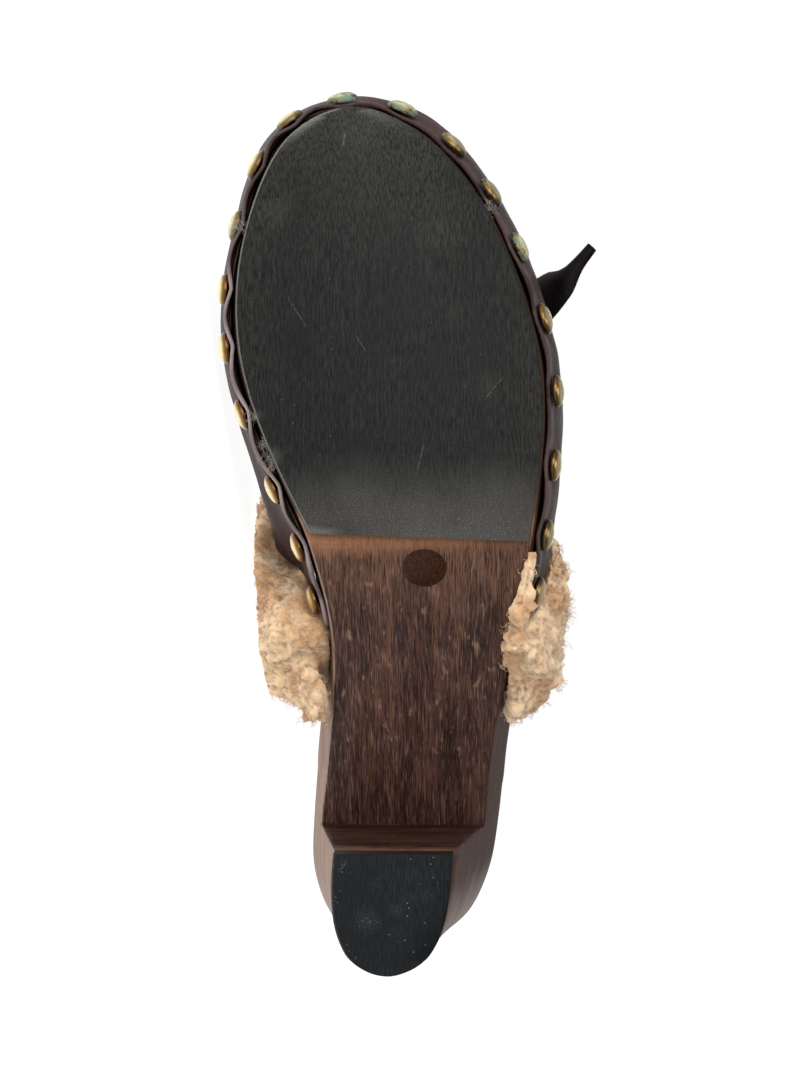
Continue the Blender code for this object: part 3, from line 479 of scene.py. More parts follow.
def brassFinish():
    brass = Finish("agedBrass", brassLook)
    tone = brass.noise(0.35, 4, 0.6)
    colour = brass.mix(tone.between(0.35, 0.65), "gold", "pale")
    rim = brass.attribute("rim")           # 1 at the foot of a dome, 0 at its top
    spots = brass.noise(1.1, 4, 0.65).between(0.58, 0.70)
    colour = colour.toward("tarnish", rim.between(0.72, 1.0).most(spots * 0.55))
    green = brass.attribute("patina") * brass.noise(0.5, 4, 0.65).between(0.34, 0.58)
    colour = colour.toward("patina", green)
    rough = tone.between(0.3, 0.7, 0.20, 0.34) + green * 0.4
    return brass.wear(base_color=colour, metallic=green.between(0.1, 0.7, 1.0, 0.0), roughness=rough,
                      normal=tone.bump(0.12))


agedBrass = brassFinish()

fleeceLook = {"deep": (0.30, 0.155, 0.072), "gold": (0.49, 0.278, 0.136), "cream": (0.71, 0.525, 0.338),
              "tips": (0.83, 0.675, 0.490)}


def fleeceFinish(name, soft):
    fleece = Finish(name, fleeceLook)
    tint = fleece.attribute("tint")        # 0 golden, 1 cream
    tip = fleece.attribute("tip")          # 0 at the root of a curl, 1 at its tip
    shade = tint * 0.34 + fleece.noise(0.08, 3, 0.5).between(0.40, 0.60) * 0.66
    colour = fleece.mix(shade.between(0.15, 0.85), "gold", "cream")
    # deep towards the roots of the curls and in the gaps between tufts: partly the wool's darker roots,
    # partly painted shade in the crevices
    colour = colour.toward("deep", tip.between(0.46, 0.0))
    fibres = fleece.noise(2.2, 4, 0.75, 0.5).between(0.42, 0.58)
    colour = colour.toward("tips", fibres * 0.28)
    shadow = fleece.noise(1.9, 4, 0.75, 0.5, shift=(3, 1, 6)).between(0.50, 0.66)
    colour = colour.toward("deep", shadow * 0.10)
    # a little light of its own stands for light that passes through the wool
    return fleece.wear(base_color=colour, roughness=0.9, specular=0.12, sheen=0.30, sheen_roughness=0.5,
                       emission_color=colour, emission_strength=0.05, subsurface_weight=soft,
                       subsurface_radius=(1.0, 0.55, 0.30), subsurface_scale=2.2 * mm,
                       normal=fleece.noise(1.3, 5, 0.75).bump(0.25))


tanFleece = fleeceFinish("tanFleece", 0.75)
tanCurls = fleeceFinish("tanCurls", 0.0)

lintLook = {"dark": (0.30, 0.265, 0.215), "pale": (0.62, 0.570, 0.490)}
stickerLook = {"dark": (0.0160, 0.0052, 0.0026), "pale": (0.0420, 0.0135, 0.0056)}


def lintFinish():
    lint = Finish("greyLint", lintLook)
    tone = lint.noise(0.9, 3, 0.6)
    colour = lint.mix(tone.between(0.35, 0.65), "dark", "pale")
    return lint.wear(base_color=colour, roughness=0.9, specular=0.1)


def stickerFinish():
    sticker = Finish("brownSticker", stickerLook)
    tone = sticker.noise((0.5, 1.6, 1.6), 4, 0.6)
    colour = sticker.mix(tone.between(0.35, 0.65), "dark", "pale")
    return sticker.wear(base_color=colour, roughness=tone.between(0.3, 0.7, 0.35, 0.50), specular=0.12,
                        normal=tone.bump(0.05))


greyLint = lintFinish()
brownSticker = stickerFinish()
print("finishes made")


# Making pieces

def newPiece(name, mesh, finishes, replaced=()):
    piece = newObject(name, mesh)
    mesh.materials.clear()
    for finish in finishes:
        mesh.materials.append(finish)
    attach(piece, "root")
    if replaced:
        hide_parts(*replaced)


def fromCad(nodeName):
    # a copy of a solid in the shoe's millimetres, its triangles joined up
    work = bmesh.new()
    work.from_mesh(frame["nodes"][nodeName].data)
    bmesh.ops.transform(work, matrix=worldToShoe, verts=work.verts)
    bmesh.ops.remove_doubles(work, verts=work.verts, dist=0.01)
    bmesh.ops.recalc_face_normals(work, faces=work.faces)
    return work


def toMesh(work, name, sharp=None):
    mesh = bpy.data.meshes.new(name)
    bmesh.ops.transform(work, matrix=shoeToWorld, verts=work.verts)
    work.to_mesh(mesh)
    work.free()
    mesh.shade_smooth()
    if sharp:
        mesh.set_sharp_from_angle(angle=math.radians(sharp))
    return mesh


def withModifiers(work, *modifiers):
    # runs modifiers on a mesh and gives the outcome back as a new mesh
    mesh = bpy.data.meshes.new("draft")
    work.to_mesh(mesh)
    work.free()
    draft = newObject("draft", mesh)
    for kind, settings in modifiers:
        modifier = draft.modifiers.new(kind, kind)
        for key, value in settings.items():
            setattr(modifier, key, value)
    bpy.context.view_layer.update()
    seen = draft.evaluated_get(bpy.context.evaluated_depsgraph_get())
    done = bmesh.new()
    done.from_mesh(seen.to_mesh())
    bpy.data.objects.remove(draft, do_unlink=True)
    bpy.data.meshes.remove(mesh)
    return done


def joinTriangles(work):
    bmesh.ops.join_triangles(work, faces=work.faces, angle_face_threshold=math.radians(40),
                             angle_shape_threshold=math.radians(60))


def circle(middle, across, third, radius, sides):
    turns = [2 * math.pi * side / sides for side in range(sides)]
    return [middle + (across * math.cos(turn) + third * math.sin(turn)) * radius for turn in turns]


def skin(work, rings):
    # faces between each ring of corners and the next
    for ring, after in zip(rings, rings[1:]):
        for k in range(len(ring)):
            beside = (k + 1) % len(ring)
            work.faces.new((ring[k], ring[beside], after[beside], after[k]))


def smoothStep(value, low, high):
    part = np.clip((np.asarray(value) - low) / (high - low), 0, 1)
    return part * part * (3 - 2 * part)


# Wood and rubber

woodSetup = {"edgeWidth": 0.75, "edgeSteps": 2, "edgeAngle": 40.0, "steps": 2, "shadeAngle": 42}
rubberSetup = {
    # name: node, finish, growth and its wander, span in x that grows, smoothing steps
    "halfSole": ("forefoot_outsole", halfSoleRubber, 0.55, 0.10, (134.0, 300.0), 1),
    "heelTap": ("heel_tap", heelTapRubber, 0.30, 0.0, (-50.0, 40.0), 2),
}
sharpAngle = 30


def rounded(work, steps):
    # smooth curves through a solid's facets, its sharp edges and the borders of its finishes kept
    crease = work.edges.layers.float.new("crease_edge")
    for edge in work.edges:
        finishes = {face.material_index for face in edge.link_faces}
        if len(finishes) > 1 or edge.calc_face_angle(0) > math.radians(sharpAngle):
            edge[crease] = 1.0
    return withModifiers(work, ("SUBSURF", {"levels": steps}))


def grown(work, size, wander, fromX, toX):
    # pushed outwards level with the tread, where x is within limits
    work.normal_update()
    moves = []
    for vert in work.verts:
        way = Vector((vert.normal.x, vert.normal.y, 0))
        inside = way.length > 0.2 and fromX < vert.co.x < toX
        moves.append(way.normalized() * (size + wander * noise.noise(vert.co * 0.3)) if inside else Vector())
    for vert, move in zip(work.verts, moves):
        vert.co += move


def makeWoodSole():
    work = fromCad("wood_sole")
    joinTriangles(work)
    least = math.radians(woodSetup["edgeAngle"])
    edges = []
    for edge in work.edges:
        if len(edge.link_faces) == 2 and edge.is_convex and edge.calc_face_angle() > least:
            if any(face.normal.z < -0.5 or face.normal.x > 0.9 for face in edge.link_faces):
                edges.append(edge)
    made = bmesh.ops.bevel(work, geom=edges, offset=woodSetup["edgeWidth"], segments=woodSetup["edgeSteps"],
                           profile=0.5, affect="EDGES", clamp_overlap=False)
    for face in made["faces"]:
        face.material_index = 1
    work = rounded(work, woodSetup["steps"])
    mesh = toMesh(work, "woodenSole", woodSetup["shadeAngle"])
    newPiece("woodenSole", mesh, [stainedWood, woodEdgeWornAndLit], ["wood_sole"])


def makeRubber():
    for name, (nodeName, finish, size, wander, span, steps) in rubberSetup.items():
        work = fromCad(nodeName)
        grown(work, size, wander, *span)
        joinTriangles(work)
        work = rounded(work, steps)
        newPiece(name, toMesh(work, name, sharpAngle), [finish], [nodeName])
        frame["nodes"][nodeName].material_slots[0].material = finish


makeWoodSole()
makeRubber()
print("wood and rubber made")


# Brass nails

studSetup = {
    "radius": 4.25, "height": 2.5, "foot": 0.40, "sink": 0.85, "sides": 28, "rings": 9, "dents": 0.07,
    # what stays of their lean towards the tread, on the inner side and elsewhere
    "turned": (0.55, 0.80),
    "patina": {7: 0.45, 8: 0.20, 9: 0.40, 10: 1.0, 11: 0.70, 12: 0.15, 13: 0.20, 14: 0.65, 18: 0.15},
}
studNames = sorted(name for name in frame["nodes"] if name.startswith("stud_"))


def studSeat(nodeName):
    # middle of the flat foot of a nail, and the way its dome points
    work = fromCad(nodeName)
    bmesh.ops.dissolve_limit(work, angle_limit=math.radians(1), verts=work.verts, edges=work.edges)
    foot = max(work.faces, key=lambda face: face.calc_area())
    seat, out = foot.calc_center_median(), -foot.normal
    work.free()
    return seat.copy(), out.copy()


def makeStud(nodeName, seat, out):
    out = Vector((out.x, out.y, out.z * studSetup["turned"][0 if seat.y < -20 else 1])).normalized()
    seat = seat - out * studSetup["sink"]
    radius, height, foot, count = (studSetup[key] for key in ("radius", "height", "foot", "rings"))
    profile = [(radius * 0.97, 0.0)]
    for number in range(count):
        swing = math.radians(90 * number / count)
        profile.append((radius * math.cos(swing) ** 0.9, foot + (height - foot) * math.sin(swing)))
    across = out.orthogonal().normalized()
    third = out.cross(across)
    work = bmesh.new()
    rim = work.verts.layers.float.new("rim")
    patina = work.verts.layers.float.new("patina")
    rings = []
    for size, lift in profile:
        ring = []
        for spot in circle(seat + out * lift, across, third, size, studSetup["sides"]):
            spot += out * studSetup["dents"] * noise.noise(spot * 0.7) * (1 if lift > foot else 0)
            made = work.verts.new(spot)
            made[rim] = size / radius
            ring.append(made)
        rings.append(ring)
    top = work.verts.new(seat + out * height)
    skin(work, rings)
    for vert, beside in zip(ring, ring[1:] + ring[:1]):
        work.faces.new((vert, beside, top))
    work.faces.new(rings[0][::-1])
    for vert in work.verts:
        vert[patina] = studSetup["patina"].get(int(nodeName[-2:]), 0.0)
    bmesh.ops.recalc_face_normals(work, faces=work.faces)
    name = "brassNail" + nodeName[-3:]
    newPiece(name, toMesh(work, name, 60), [agedBrass], [nodeName])


studSeats = {name: studSeat(name) for name in studNames}
for name, (seat, out) in studSeats.items():
    makeStud(name, seat, out)
print("nails made:", len(studNames))


def solidTree(*nodeNames):
    work = bmesh.new()
    for nodeName in nodeNames:
        part = fromCad(nodeName)
        mesh = bpy.data.meshes.new("draft")
        part.to_mesh(mesh)
        part.free()
        work.from_mesh(mesh)
        bpy.data.meshes.remove(mesh)
    tree = BVHTree.FromBMesh(work)
    work.free()
    return tree


hardTree = solidTree("wood_sole", "upper", *studNames)
woodTree = solidTree("wood_sole")


# Upper

upperSetup = {
    "steps": 2, "rimAngle": 50.0, "rimCrease": 0.85, "seed": 11,
    "middle": (155.0, 0.0), "coreZ": 45.0,                 # of the room inside
    # rows are heights above the nails between which an effect fades
    "pucker": (0.20, 1.00), "puckerRows": (3.0, 15.0),     # swelling between nails
    "thin": 1.05, "thinRows": (-1.0, 11.0),                # skived along the nailed edge
    "flare": 1.2, "flareRows": (-4.0, 0.5),                # edge standing off the wood on the inner side
    "flareX": (112, 132), "flareInward": (8, 26),
    "lip": 0.75, "lipRows": (-5.0, 0.0),                   # edge going up and down between nails
    "pinch": 0.22, "pinchWidth": 4.5, "rippleScale": 0.16, "ripple": 0.20,
    # these rows, gap and width place the painted highlight on the rim
    "highlightRows": (-1.0, 2.0), "highlightGap": 4.5, "highlightWidth": 3.0,      # rim that shows paler, most by a nail
    "creaseRows": (50, 62), "creaseFade": 12,
    # x where it crosses the middle, slant towards the sides, depth, half width, span in y
    "creases": ((150.0, -0.10, 0.55, 4.0, (-34, 30)), (160.5, -0.22, 0.40, 3.0, (-30, 8)),
                (141.0, 0.05, 0.45, 3.5, (4, 38))),
}
nailSpots = np.array([seat for seat, out in studSeats.values()])


def nailCourse(places):
    # the nearest stretch between two nails, how far along it, the height above it and the way out of the shoe
    starts, ends = nailSpots[:-1], nailSpots[1:]
    steps = ends - starts
    flat = places[:, None, :2] - starts[None, :, :2]
    part = np.clip((flat * steps[None, :, :2]).sum(2) / (steps[:, :2] ** 2).sum(1), 0, 1)
    gap = np.linalg.norm(flat - part[:, :, None] * steps[None, :, :2], axis=2)
    best = gap.argmin(1)
    part = part[np.arange(len(places)), best]
    height = places[:, 2] - (starts[best, 2] + part * steps[best, 2])
    side = np.stack([steps[:, 1], -steps[:, 0]], 1) / np.sqrt((steps[:, :2] ** 2).sum(1))[:, None]
    fromMiddle = (starts[:, :2] + ends[:, :2]) / 2 - np.array(upperSetup["middle"])
    side[(fromMiddle * side).sum(1) < 0] *= -1
    return best, part, height, side[best]


def thinned(places):
    # leather skived from outside along its nailed edge
    fade = 1 - smoothStep(nailCourse(places)[2], *upperSetup["thinRows"])
    moved = places.copy()
    for k in np.nonzero(fade > 0.01)[0]:
        near, normal, index, gap = woodTree.find_nearest(Vector(places[k]))
        amount = upperSetup["thin"] * float(smoothStep(gap, 0.5, 2.2)) * fade[k]
        if amount:
            moved[k] += (np.array(near) - places[k]) / gap * amount
    return moved


def pucker(places):
    # leather swells between neighbouring nails and is pinched at each of them
    chance = random.Random(upperSetup["seed"])
    best, part, height, side = nailCourse(places)
    swells = np.array([chance.uniform(*upperSetup["pucker"]) for nail in nailSpots])
    lips = np.array([chance.uniform(-1, 1) for nail in nailSpots])
    wave = np.sin(np.pi * part) ** 1.3
    fade = 1 - smoothStep(height, *upperSetup["puckerRows"])
    near = np.linalg.norm(places[:, None, :] - nailSpots[None, :, :], axis=2).min(1)
    push = swells[best] * wave * fade - upperSetup["pinch"] * np.exp(-(near / upperSetup["pinchWidth"]) ** 2)
    flare = upperSetup["flare"] * (1 - smoothStep(height, *upperSetup["flareRows"])) * (0.25 + 0.75 * wave)
    flare *= smoothStep(-places[:, 1], *upperSetup["flareInward"])
    flare *= smoothStep(places[:, 0], *upperSetup["flareX"])
    moved = places.copy()
    moved[:, :2] += side * (push + flare)[:, None]
    low = 1 - smoothStep(height, *upperSetup["lipRows"])
    moved[:, 2] += upperSetup["lip"] * lips[best] * wave * low
    return moved


def crease(places):
    # soft folds across the vamp
    moved = places.copy()
    out = places - np.array([0, 0, upperSetup["coreZ"]])
    out[:, 0] = 0
    out /= np.linalg.norm(out, axis=1, keepdims=True)
    high = smoothStep(places[:, 2], *upperSetup["creaseRows"])
    fade = upperSetup["creaseFade"]
    for across, slant, depth, width, (start, end) in upperSetup["creases"]:
        line = across + slant * np.abs(places[:, 1])
        off = (places[:, 0] - line) / width
        dip = np.exp(-off ** 2) - 0.5 * np.exp(-(off - 2) ** 2)
        span = smoothStep(places[:, 1], start, start + fade) * (1 - smoothStep(places[:, 1], end - fade, end))
        moved -= out * (depth * dip * span * high)[:, None]
    return moved


def makeUpper():
    work = fromCad("upper")
    joinTriangles(work)
    sharp = work.edges.layers.float.new("crease_edge")
    for edge in work.edges:
        if len(edge.link_faces) == 2 and edge.calc_face_angle() > math.radians(upperSetup["rimAngle"]):
            edge[sharp] = upperSetup["rimCrease"]
    work = withModifiers(work, ("SUBSURF", {"levels": upperSetup["steps"]}))
    places = np.array([vert.co for vert in work.verts])
    places = crease(pucker(thinned(places)))
    heights = nailCourse(places)[2]
    # the rim layer marks where the leather gets its painted highlight
    rim = work.verts.layers.float.new("rim")        # 1 just under the nails
    for vert, place, height in zip(work.verts, places, heights):
        vert.co = place
        vert.co += vert.normal * upperSetup["ripple"] * noise.noise(vert.co * upperSetup["rippleScale"])
        far = float(np.linalg.norm(nailSpots - place, axis=1).min())
        share = 0.35 + 0.65 * math.exp(-((far - upperSetup["highlightGap"]) / upperSetup["highlightWidth"]) ** 2)
        vert[rim] = share * float(1 - smoothStep(height, *upperSetup["highlightRows"]))
    bmesh.ops.recalc_face_normals(work, faces=work.faces)
    for face in work.faces:
        if face.normal.z < -0.25:
            face.material_index = 1
    mesh = toMesh(work, "leatherUpper", 48)
    newPiece("leatherUpper", mesh, [upperLeather, rawLeatherEdge], ["upper"])


makeUpper()
print("upper made")


# Bow

bowSetup = {
    "thickness": 1.5, "samples": 9, "steps": 6,
    "loopWidth": (3.41, 3.025), "loopCurl": (22, -16),      # at the ends of a loop, and what its middle adds
}
knotSetup = {"folds": 1.5, "sway": 2.0, "swayScale": 0.12, "depth": 0.22}
# x, y, z of the middle; x, y, z of the way up; half width; curl across in degrees
innerTail = (
    (172.6, -10.4, 80.0, 0.25, -0.24, 0.94, 4.0, 15), (175.7, -20.4, 75.4, 0.19, -0.45, 0.87, 5.2, 20),
    (180.6, -31.5, 66.8, 0.10, -0.66, 0.74, 5.4, 30), (187.0, -38.1, 59.2, 0.15, -0.78, 0.61, 4.4, 60),
    (194.0, -42.8, 52.4, 0.20, -0.85, 0.48, 1.8, 200))
outerTail = (
    (172.7, 6.2, 80.0, 0.32, 0.24, 0.91, 4.0, 15), (174.2, 17.7, 74.3, 0.31, 0.50, 0.81, 5.2, 20),
    (179.7, 28.6, 62.8, 0.27, 0.74, 0.62, 5.8, 25), (186.0, 36.3, 52.8, 0.30, 0.85, 0.43, 6.8, 40),
    (193.2, 43.4, 49.0, 0.33, 0.88, 0.33, 6.2, 90), (198.4, 48.6, 48.6, 0.34, 0.88, 0.31, 2.8, 220),
    (203.3, 53.0, 48.5, 0.34, 0.89, 0.29, 2.0, 300))
# x, y, z of the middle
innerLoop = ((172.2, -10.5, 82.9), (170.6, -19.0, 80.5), (169.0, -27.2, 75.7), (167.6, -34.2, 70.0),
             (167.1, -38.7, 68.5), (167.5, -38.8, 73.1), (169.6, -31.7, 81.7), (171.7, -21.6, 86.0),
             (172.7, -11.4, 85.0))
outerLoop = ((172.6, 6.6, 82.8), (171.3, 15.2, 80.4), (169.8, 23.5, 75.6), (168.7, 30.6, 70.0),
             (168.8, 35.2, 68.4), (169.9, 35.2, 72.9), (171.9, 28.0, 81.4), (173.1, 17.8, 85.7),
             (173.2, 7.6, 84.9))


def smoothRows(rows, steps):
    # a smooth course through the rows of a table, each row kept
    rows = np.array(rows, float)
    ends = np.vstack([2 * rows[0] - rows[1], rows, 2 * rows[-1] - rows[-2]])
    course = []
    for k in range(1, len(ends) - 2):
        before, start, end, after = ends[k - 1:k + 3]
        for step in range(steps):
            t = step / steps
            second = 2 * before - 5 * start + 4 * end - after
            third = 3 * start - before - 3 * end + after
            course.append(0.5 * (2 * start + (end - before) * t + second * t * t + third * t ** 3))
    course.append(rows[-1])
    return np.array(course)


def ribbon(course, acrossWays, upWays, halfWidths, curls):
    # a strip of leather with real thickness, curled across its width
    half = bowSetup["thickness"] / 2
    work = bmesh.new()
    rings = []
    for middle, across, up, width, curl in zip(course, acrossWays, upWays, halfWidths, curls):
        turn = max(math.radians(curl), 0.02)
        radius = 2 * width / turn
        upper, lower = [], []
        for sample in range(bowSetup["samples"]):
            swing = turn * (sample / (bowSetup["samples"] - 1) - 0.5)
            way = np.array([math.sin(swing), -math.cos(swing)])
            for row, size in ((upper, radius - half), (lower, radius + half)):
                spot = middle + across * way[0] * size + up * (way[1] * size + radius)
                row.append(work.verts.new(spot))
        rings.append(upper + lower[::-1])
    skin(work, rings)
    count = bowSetup["samples"]
    for ring in (rings[0], rings[-1]):
        for k in range(count - 1):
            work.faces.new((ring[k], ring[k + 1], ring[2 * count - 2 - k], ring[2 * count - 1 - k]))
    bmesh.ops.recalc_face_normals(work, faces=work.faces)
    return work


def normalised(ways):
    return ways / np.linalg.norm(ways, axis=1, keepdims=True)


def makeTail(name, rows, replaced):
    table = smoothRows(rows, bowSetup["steps"])
    course, up = table[:, :3], normalised(table[:, 3:6])
    along = normalised(np.gradient(course, axis=0))
    across = normalised(np.cross(along, up))
    up = normalised(np.cross(across, along))
    work = ribbon(course, across, up, table[:, 6], table[:, 7])
    newPiece(name, toMesh(work, name, 55), [bowLeather], [replaced])


def makeLoop(name, rows, replaced):
    course = smoothRows(rows, bowSetup["steps"])
    along = normalised(np.gradient(course, axis=0))
    across = np.tile(np.array([1.0, 0.0, 0.0]), (len(course), 1))
    across = normalised(across - along * (across * along).sum(1, keepdims=True))
    up = np.cross(along, across)
    bulge = np.sin(np.pi * np.linspace(0, 1, len(course)))
    widths, curls = (start + more * bulge for start, more in (bowSetup["loopWidth"], bowSetup["loopCurl"]))
    work = ribbon(course, across, up, widths, curls)
    newPiece(name, toMesh(work, name, 55), [bowLeather], [replaced])


def makeKnot():
    work = fromCad("bow_knot")
    joinTriangles(work)
    work = withModifiers(work, ("SUBSURF", {"levels": 3}))
    for vert in work.verts:
        sway = knotSetup["sway"] * noise.noise(vert.co * knotSetup["swayScale"])
        vert.co += vert.normal * knotSetup["depth"] * math.sin(vert.co.y * knotSetup["folds"] + sway)
    newPiece("bowKnot", toMesh(work, "bowKnot", 60), [bowLeather], ["bow_knot"])


makeTail("bowTailInner", innerTail, "bow_tail_inner")
makeTail("bowTailOuter", outerTail, "bow_tail_outer")
makeLoop("bowLoopInner", innerLoop, "bow_loop_inner")
makeLoop("bowLoopOuter", outerLoop, "bow_loop_outer")
makeKnot()
print("bow made")


# Sticker, bare

stickerSetup = {
    "middle": (114.4, 8.1, 7.04), "out": (-0.6125, 0.0, -1.0), "radius": 5.75, "thickness": 0.14, "sides": 56,
    "rings": ((-0.05, 1.0), (0.6, 1.0), (1.0, 0.985)),        # parts of the thickness and of the radius
}


def makeSticker():
    out = Vector(stickerSetup["out"]).normalized()
    across = Vector((0, 1, 0))
    work = bmesh.new()
    rings = []
    for lift, size in stickerSetup["rings"]:
        middle = Vector(stickerSetup["middle"]) + out * stickerSetup["thickness"] * lift
        radius = stickerSetup["radius"] * size
        spots = circle(middle, across, out.cross(across), radius, stickerSetup["sides"])
        rings.append([work.verts.new(spot) for spot in spots])
    skin(work, rings)
    work.faces.new(rings[0][::-1])
    work.faces.new(rings[-1])
    bmesh.ops.recalc_face_normals(work, faces=work.faces)
    newPiece("bareSticker", toMesh(work, "bareSticker", 50), [brownSticker])


makeSticker()
print("sticker made")


# Fleece

fleeceSetup = {
    "voxel": 0.8, "shrink": 0.8, "puff": (-0.25, 0.8), "tipTone": (0.20, 0.42, 0.24), "floorGap": 0.3,
    # scale and height
    "lumps": (0.10, 2.0), "tufts": (0.17, 2.0), "crimp": (0.85, 0.60), "sway": (0.14, 5.0), "swaySeed": 5,
    "freeRows": (0.4, 4.0), "pressed": 0.6,          # tufts fade near wood, leather and nails, crimp less so
    "corner": (3.5, 3.0, 0.0), "cornerX": (72, 80), "cornerY": (-31, -26),      # rear inner corner, drawn in
    "locks": 3200, "strands": 12600, "length": (1.1, 2.4), "radius": (0.110, 0.040), "points": 9,
    "curl": (0.45, 0.85), "turns": (1.0, 1.8), "pull": 0.40, "lean": 1.5, "bend": 1.0, "jitter": 0.80,
    "flow": (-0.35, 0.0, 0.0), "nailRoom": 4.6, "pieces": 4, "seed": 23,
}
liningSetup = {
    "coreX": (120, 190), "inward": 0.25, "clear": 2.5, "depth": 1.0, "waves": (0.3, 0.8), "thickness": 0.5,
    "tint": 0.5, "tip": 0.4, "strands": 1200, "locks": 260, "length": (2.6, 4.6), "seed": 24,
}
fringeSetup = {
    # x, y, z of the middle, and radius
    "outer": ((118.5, 36.2, 5.2, 1.2), (113.0, 35.2, 6.8, 2.0), (106.0, 34.0, 10.0, 2.4),
              (99.0, 32.6, 13.0, 3.0), (92.5, 31.8, 15.5, 3.4)),
    "inner": ((113.5, -26.2, 37.0, 1.4), (110.0, -26.4, 36.0, 2.2), (105.0, -26.8, 33.0, 2.6),
              (99.0, -27.4, 29.0, 2.8), (92.0, -27.4, 27.0, 3.0), (86.0, -25.0, 28.0, 4.2),
              (80.0, -23.8, 29.5, 4.6), (76.0, -23.2, 30.5, 4.4), (72.5, -22.8, 31.0, 3.0)),
    "lower": ((97.0, -34.5, 30.0, 2.4), (91.0, -33.0, 30.0, 4.2), (85.0, -30.5, 30.5, 4.8),
              (79.0, -27.6, 31.0, 4.4), (75.0, -25.0, 32.0, 2.0)),
    "steps": 24, "sides": 20,
}
lintSetup = {
    "spots": ((203.4, -40.1, 7.0), (207.8, 24.6, 7.0), (233.9, -9.9, 7.0), (146.0, -34.5, 4.0),
              (143.0, -33.2, 4.0), (140.5, -32.0, 4.0), (153.5, -36.5, 4.0)),
    "strands": 70, "length": (0.4, 1.1), "radius": (0.035, 0.015), "seed": 5,
    "spread": (0.8, 0.8, 0.32), "outward": 0.5, "bend": 1.5,
}
toWorld = np.array(shoeToWorld)


def wool(spot):
    # how far a tuft and its crimp stand out at a spot, with the tint and the tip there
    tuftScale, tuftHeight = fleeceSetup["tufts"]
    lumpScale, lumpHeight = fleeceSetup["lumps"]
    crimpScale, crimpHeight = fleeceSetup["crimp"]
    swayScale, sway = fleeceSetup["sway"]
    gaps, middles = noise.voronoi((spot + noise.noise_vector(spot * swayScale) * sway) * tuftScale)
    puff = float(smoothStep(gaps[1] - gaps[0], *fleeceSetup["puff"]))
    crimp = noise.turbulence(spot * crimpScale, 3, False)
    lift = tuftHeight * puff + lumpHeight * noise.noise(spot * lumpScale) - fleeceSetup["shrink"]
    tint = 0.5 + 0.5 * noise.noise(middles[0] * 7.0)
    # the tip is low in the gaps between tufts, where the fleece finish paints deep colour as shade
    ground, byPuff, byCrimp = fleeceSetup["tipTone"]
    return lift, crimpHeight * crimp, tint, ground + byPuff * puff + byCrimp * crimp


def addFringe(work, course):
    # a tube of fleece that shows between the wood and the cuff
    turns = np.linspace(0, 2 * np.pi, fringeSetup["sides"], endpoint=False)
    rings = []
    for x, y, z, radius in smoothRows(course, fringeSetup["steps"]):
        spots = [(x, y + radius * np.cos(turn), z + radius * np.sin(turn)) for turn in turns]
        rings.append([work.verts.new(spot) for spot in spots])
    skin(work, rings)
    work.faces.new(rings[0][::-1])
    work.faces.new(rings[-1])


def fleeceBody():
    # the cuff's solid and its fringes drawn in a little and puffed out in tufts, as the ground for the curls
    work = fromCad("shearling_cuff")
    for name in ("outer", "inner", "lower"):
        addFringe(work, fringeSetup[name])
    bmesh.ops.recalc_face_normals(work, faces=work.faces)
    work = withModifiers(work, ("REMESH", {"mode": "VOXEL", "voxel_size": fleeceSetup["voxel"]}))
    work.normal_update()
    tintLayer, tipLayer = (work.verts.layers.float.new(name) for name in ("tint", "tip"))
    moves = []
    for vert in work.verts:
        free = float(smoothStep(hardTree.find_nearest(vert.co)[3], *fleeceSetup["freeRows"]))
        lift, crimp, vert[tintLayer], vert[tipLayer] = wool(vert.co)
        moves.append(vert.normal * (lift * free + crimp * max(free, fleeceSetup["pressed"])))
    lowest = fleeceSetup["floorGap"] * mm
    for vert, move in zip(work.verts, moves):
        behind = 1 - smoothStep(vert.co.x, *fleeceSetup["cornerX"])
        corner = float(behind * (1 - smoothStep(vert.co.y, *fleeceSetup["cornerY"])))
        spot = shoeToWorld @ (vert.co + move + Vector(fleeceSetup["corner"]) * corner)
        spot.z = max(spot.z, lowest)
        vert.co = worldToShoe @ spot
    work.normal_update()
    return work


def spotsOn(work, count, chance):
    # places spread evenly over a mesh, with its normals there
    places = np.array([vert.co for vert in work.verts])
    normals = np.array([vert.normal for vert in work.verts])
    corners = np.array([[loop.vert.index for loop in loops] for loops in work.calc_loop_triangles()])
    a, b, c = (places[corners[:, k]] for k in range(3))
    sizes = np.linalg.norm(np.cross(b - a, c - a), axis=1)
    picked = chance.choice(len(corners), count, p=sizes / sizes.sum())
    parts = chance.dirichlet((1, 1, 1), count)
    spots = np.einsum("ik,ikj->ij", parts, places[corners[picked]])
    ways = np.einsum("ik,ikj->ij", parts, normals[corners[picked]])
    return spots, normalised(ways)


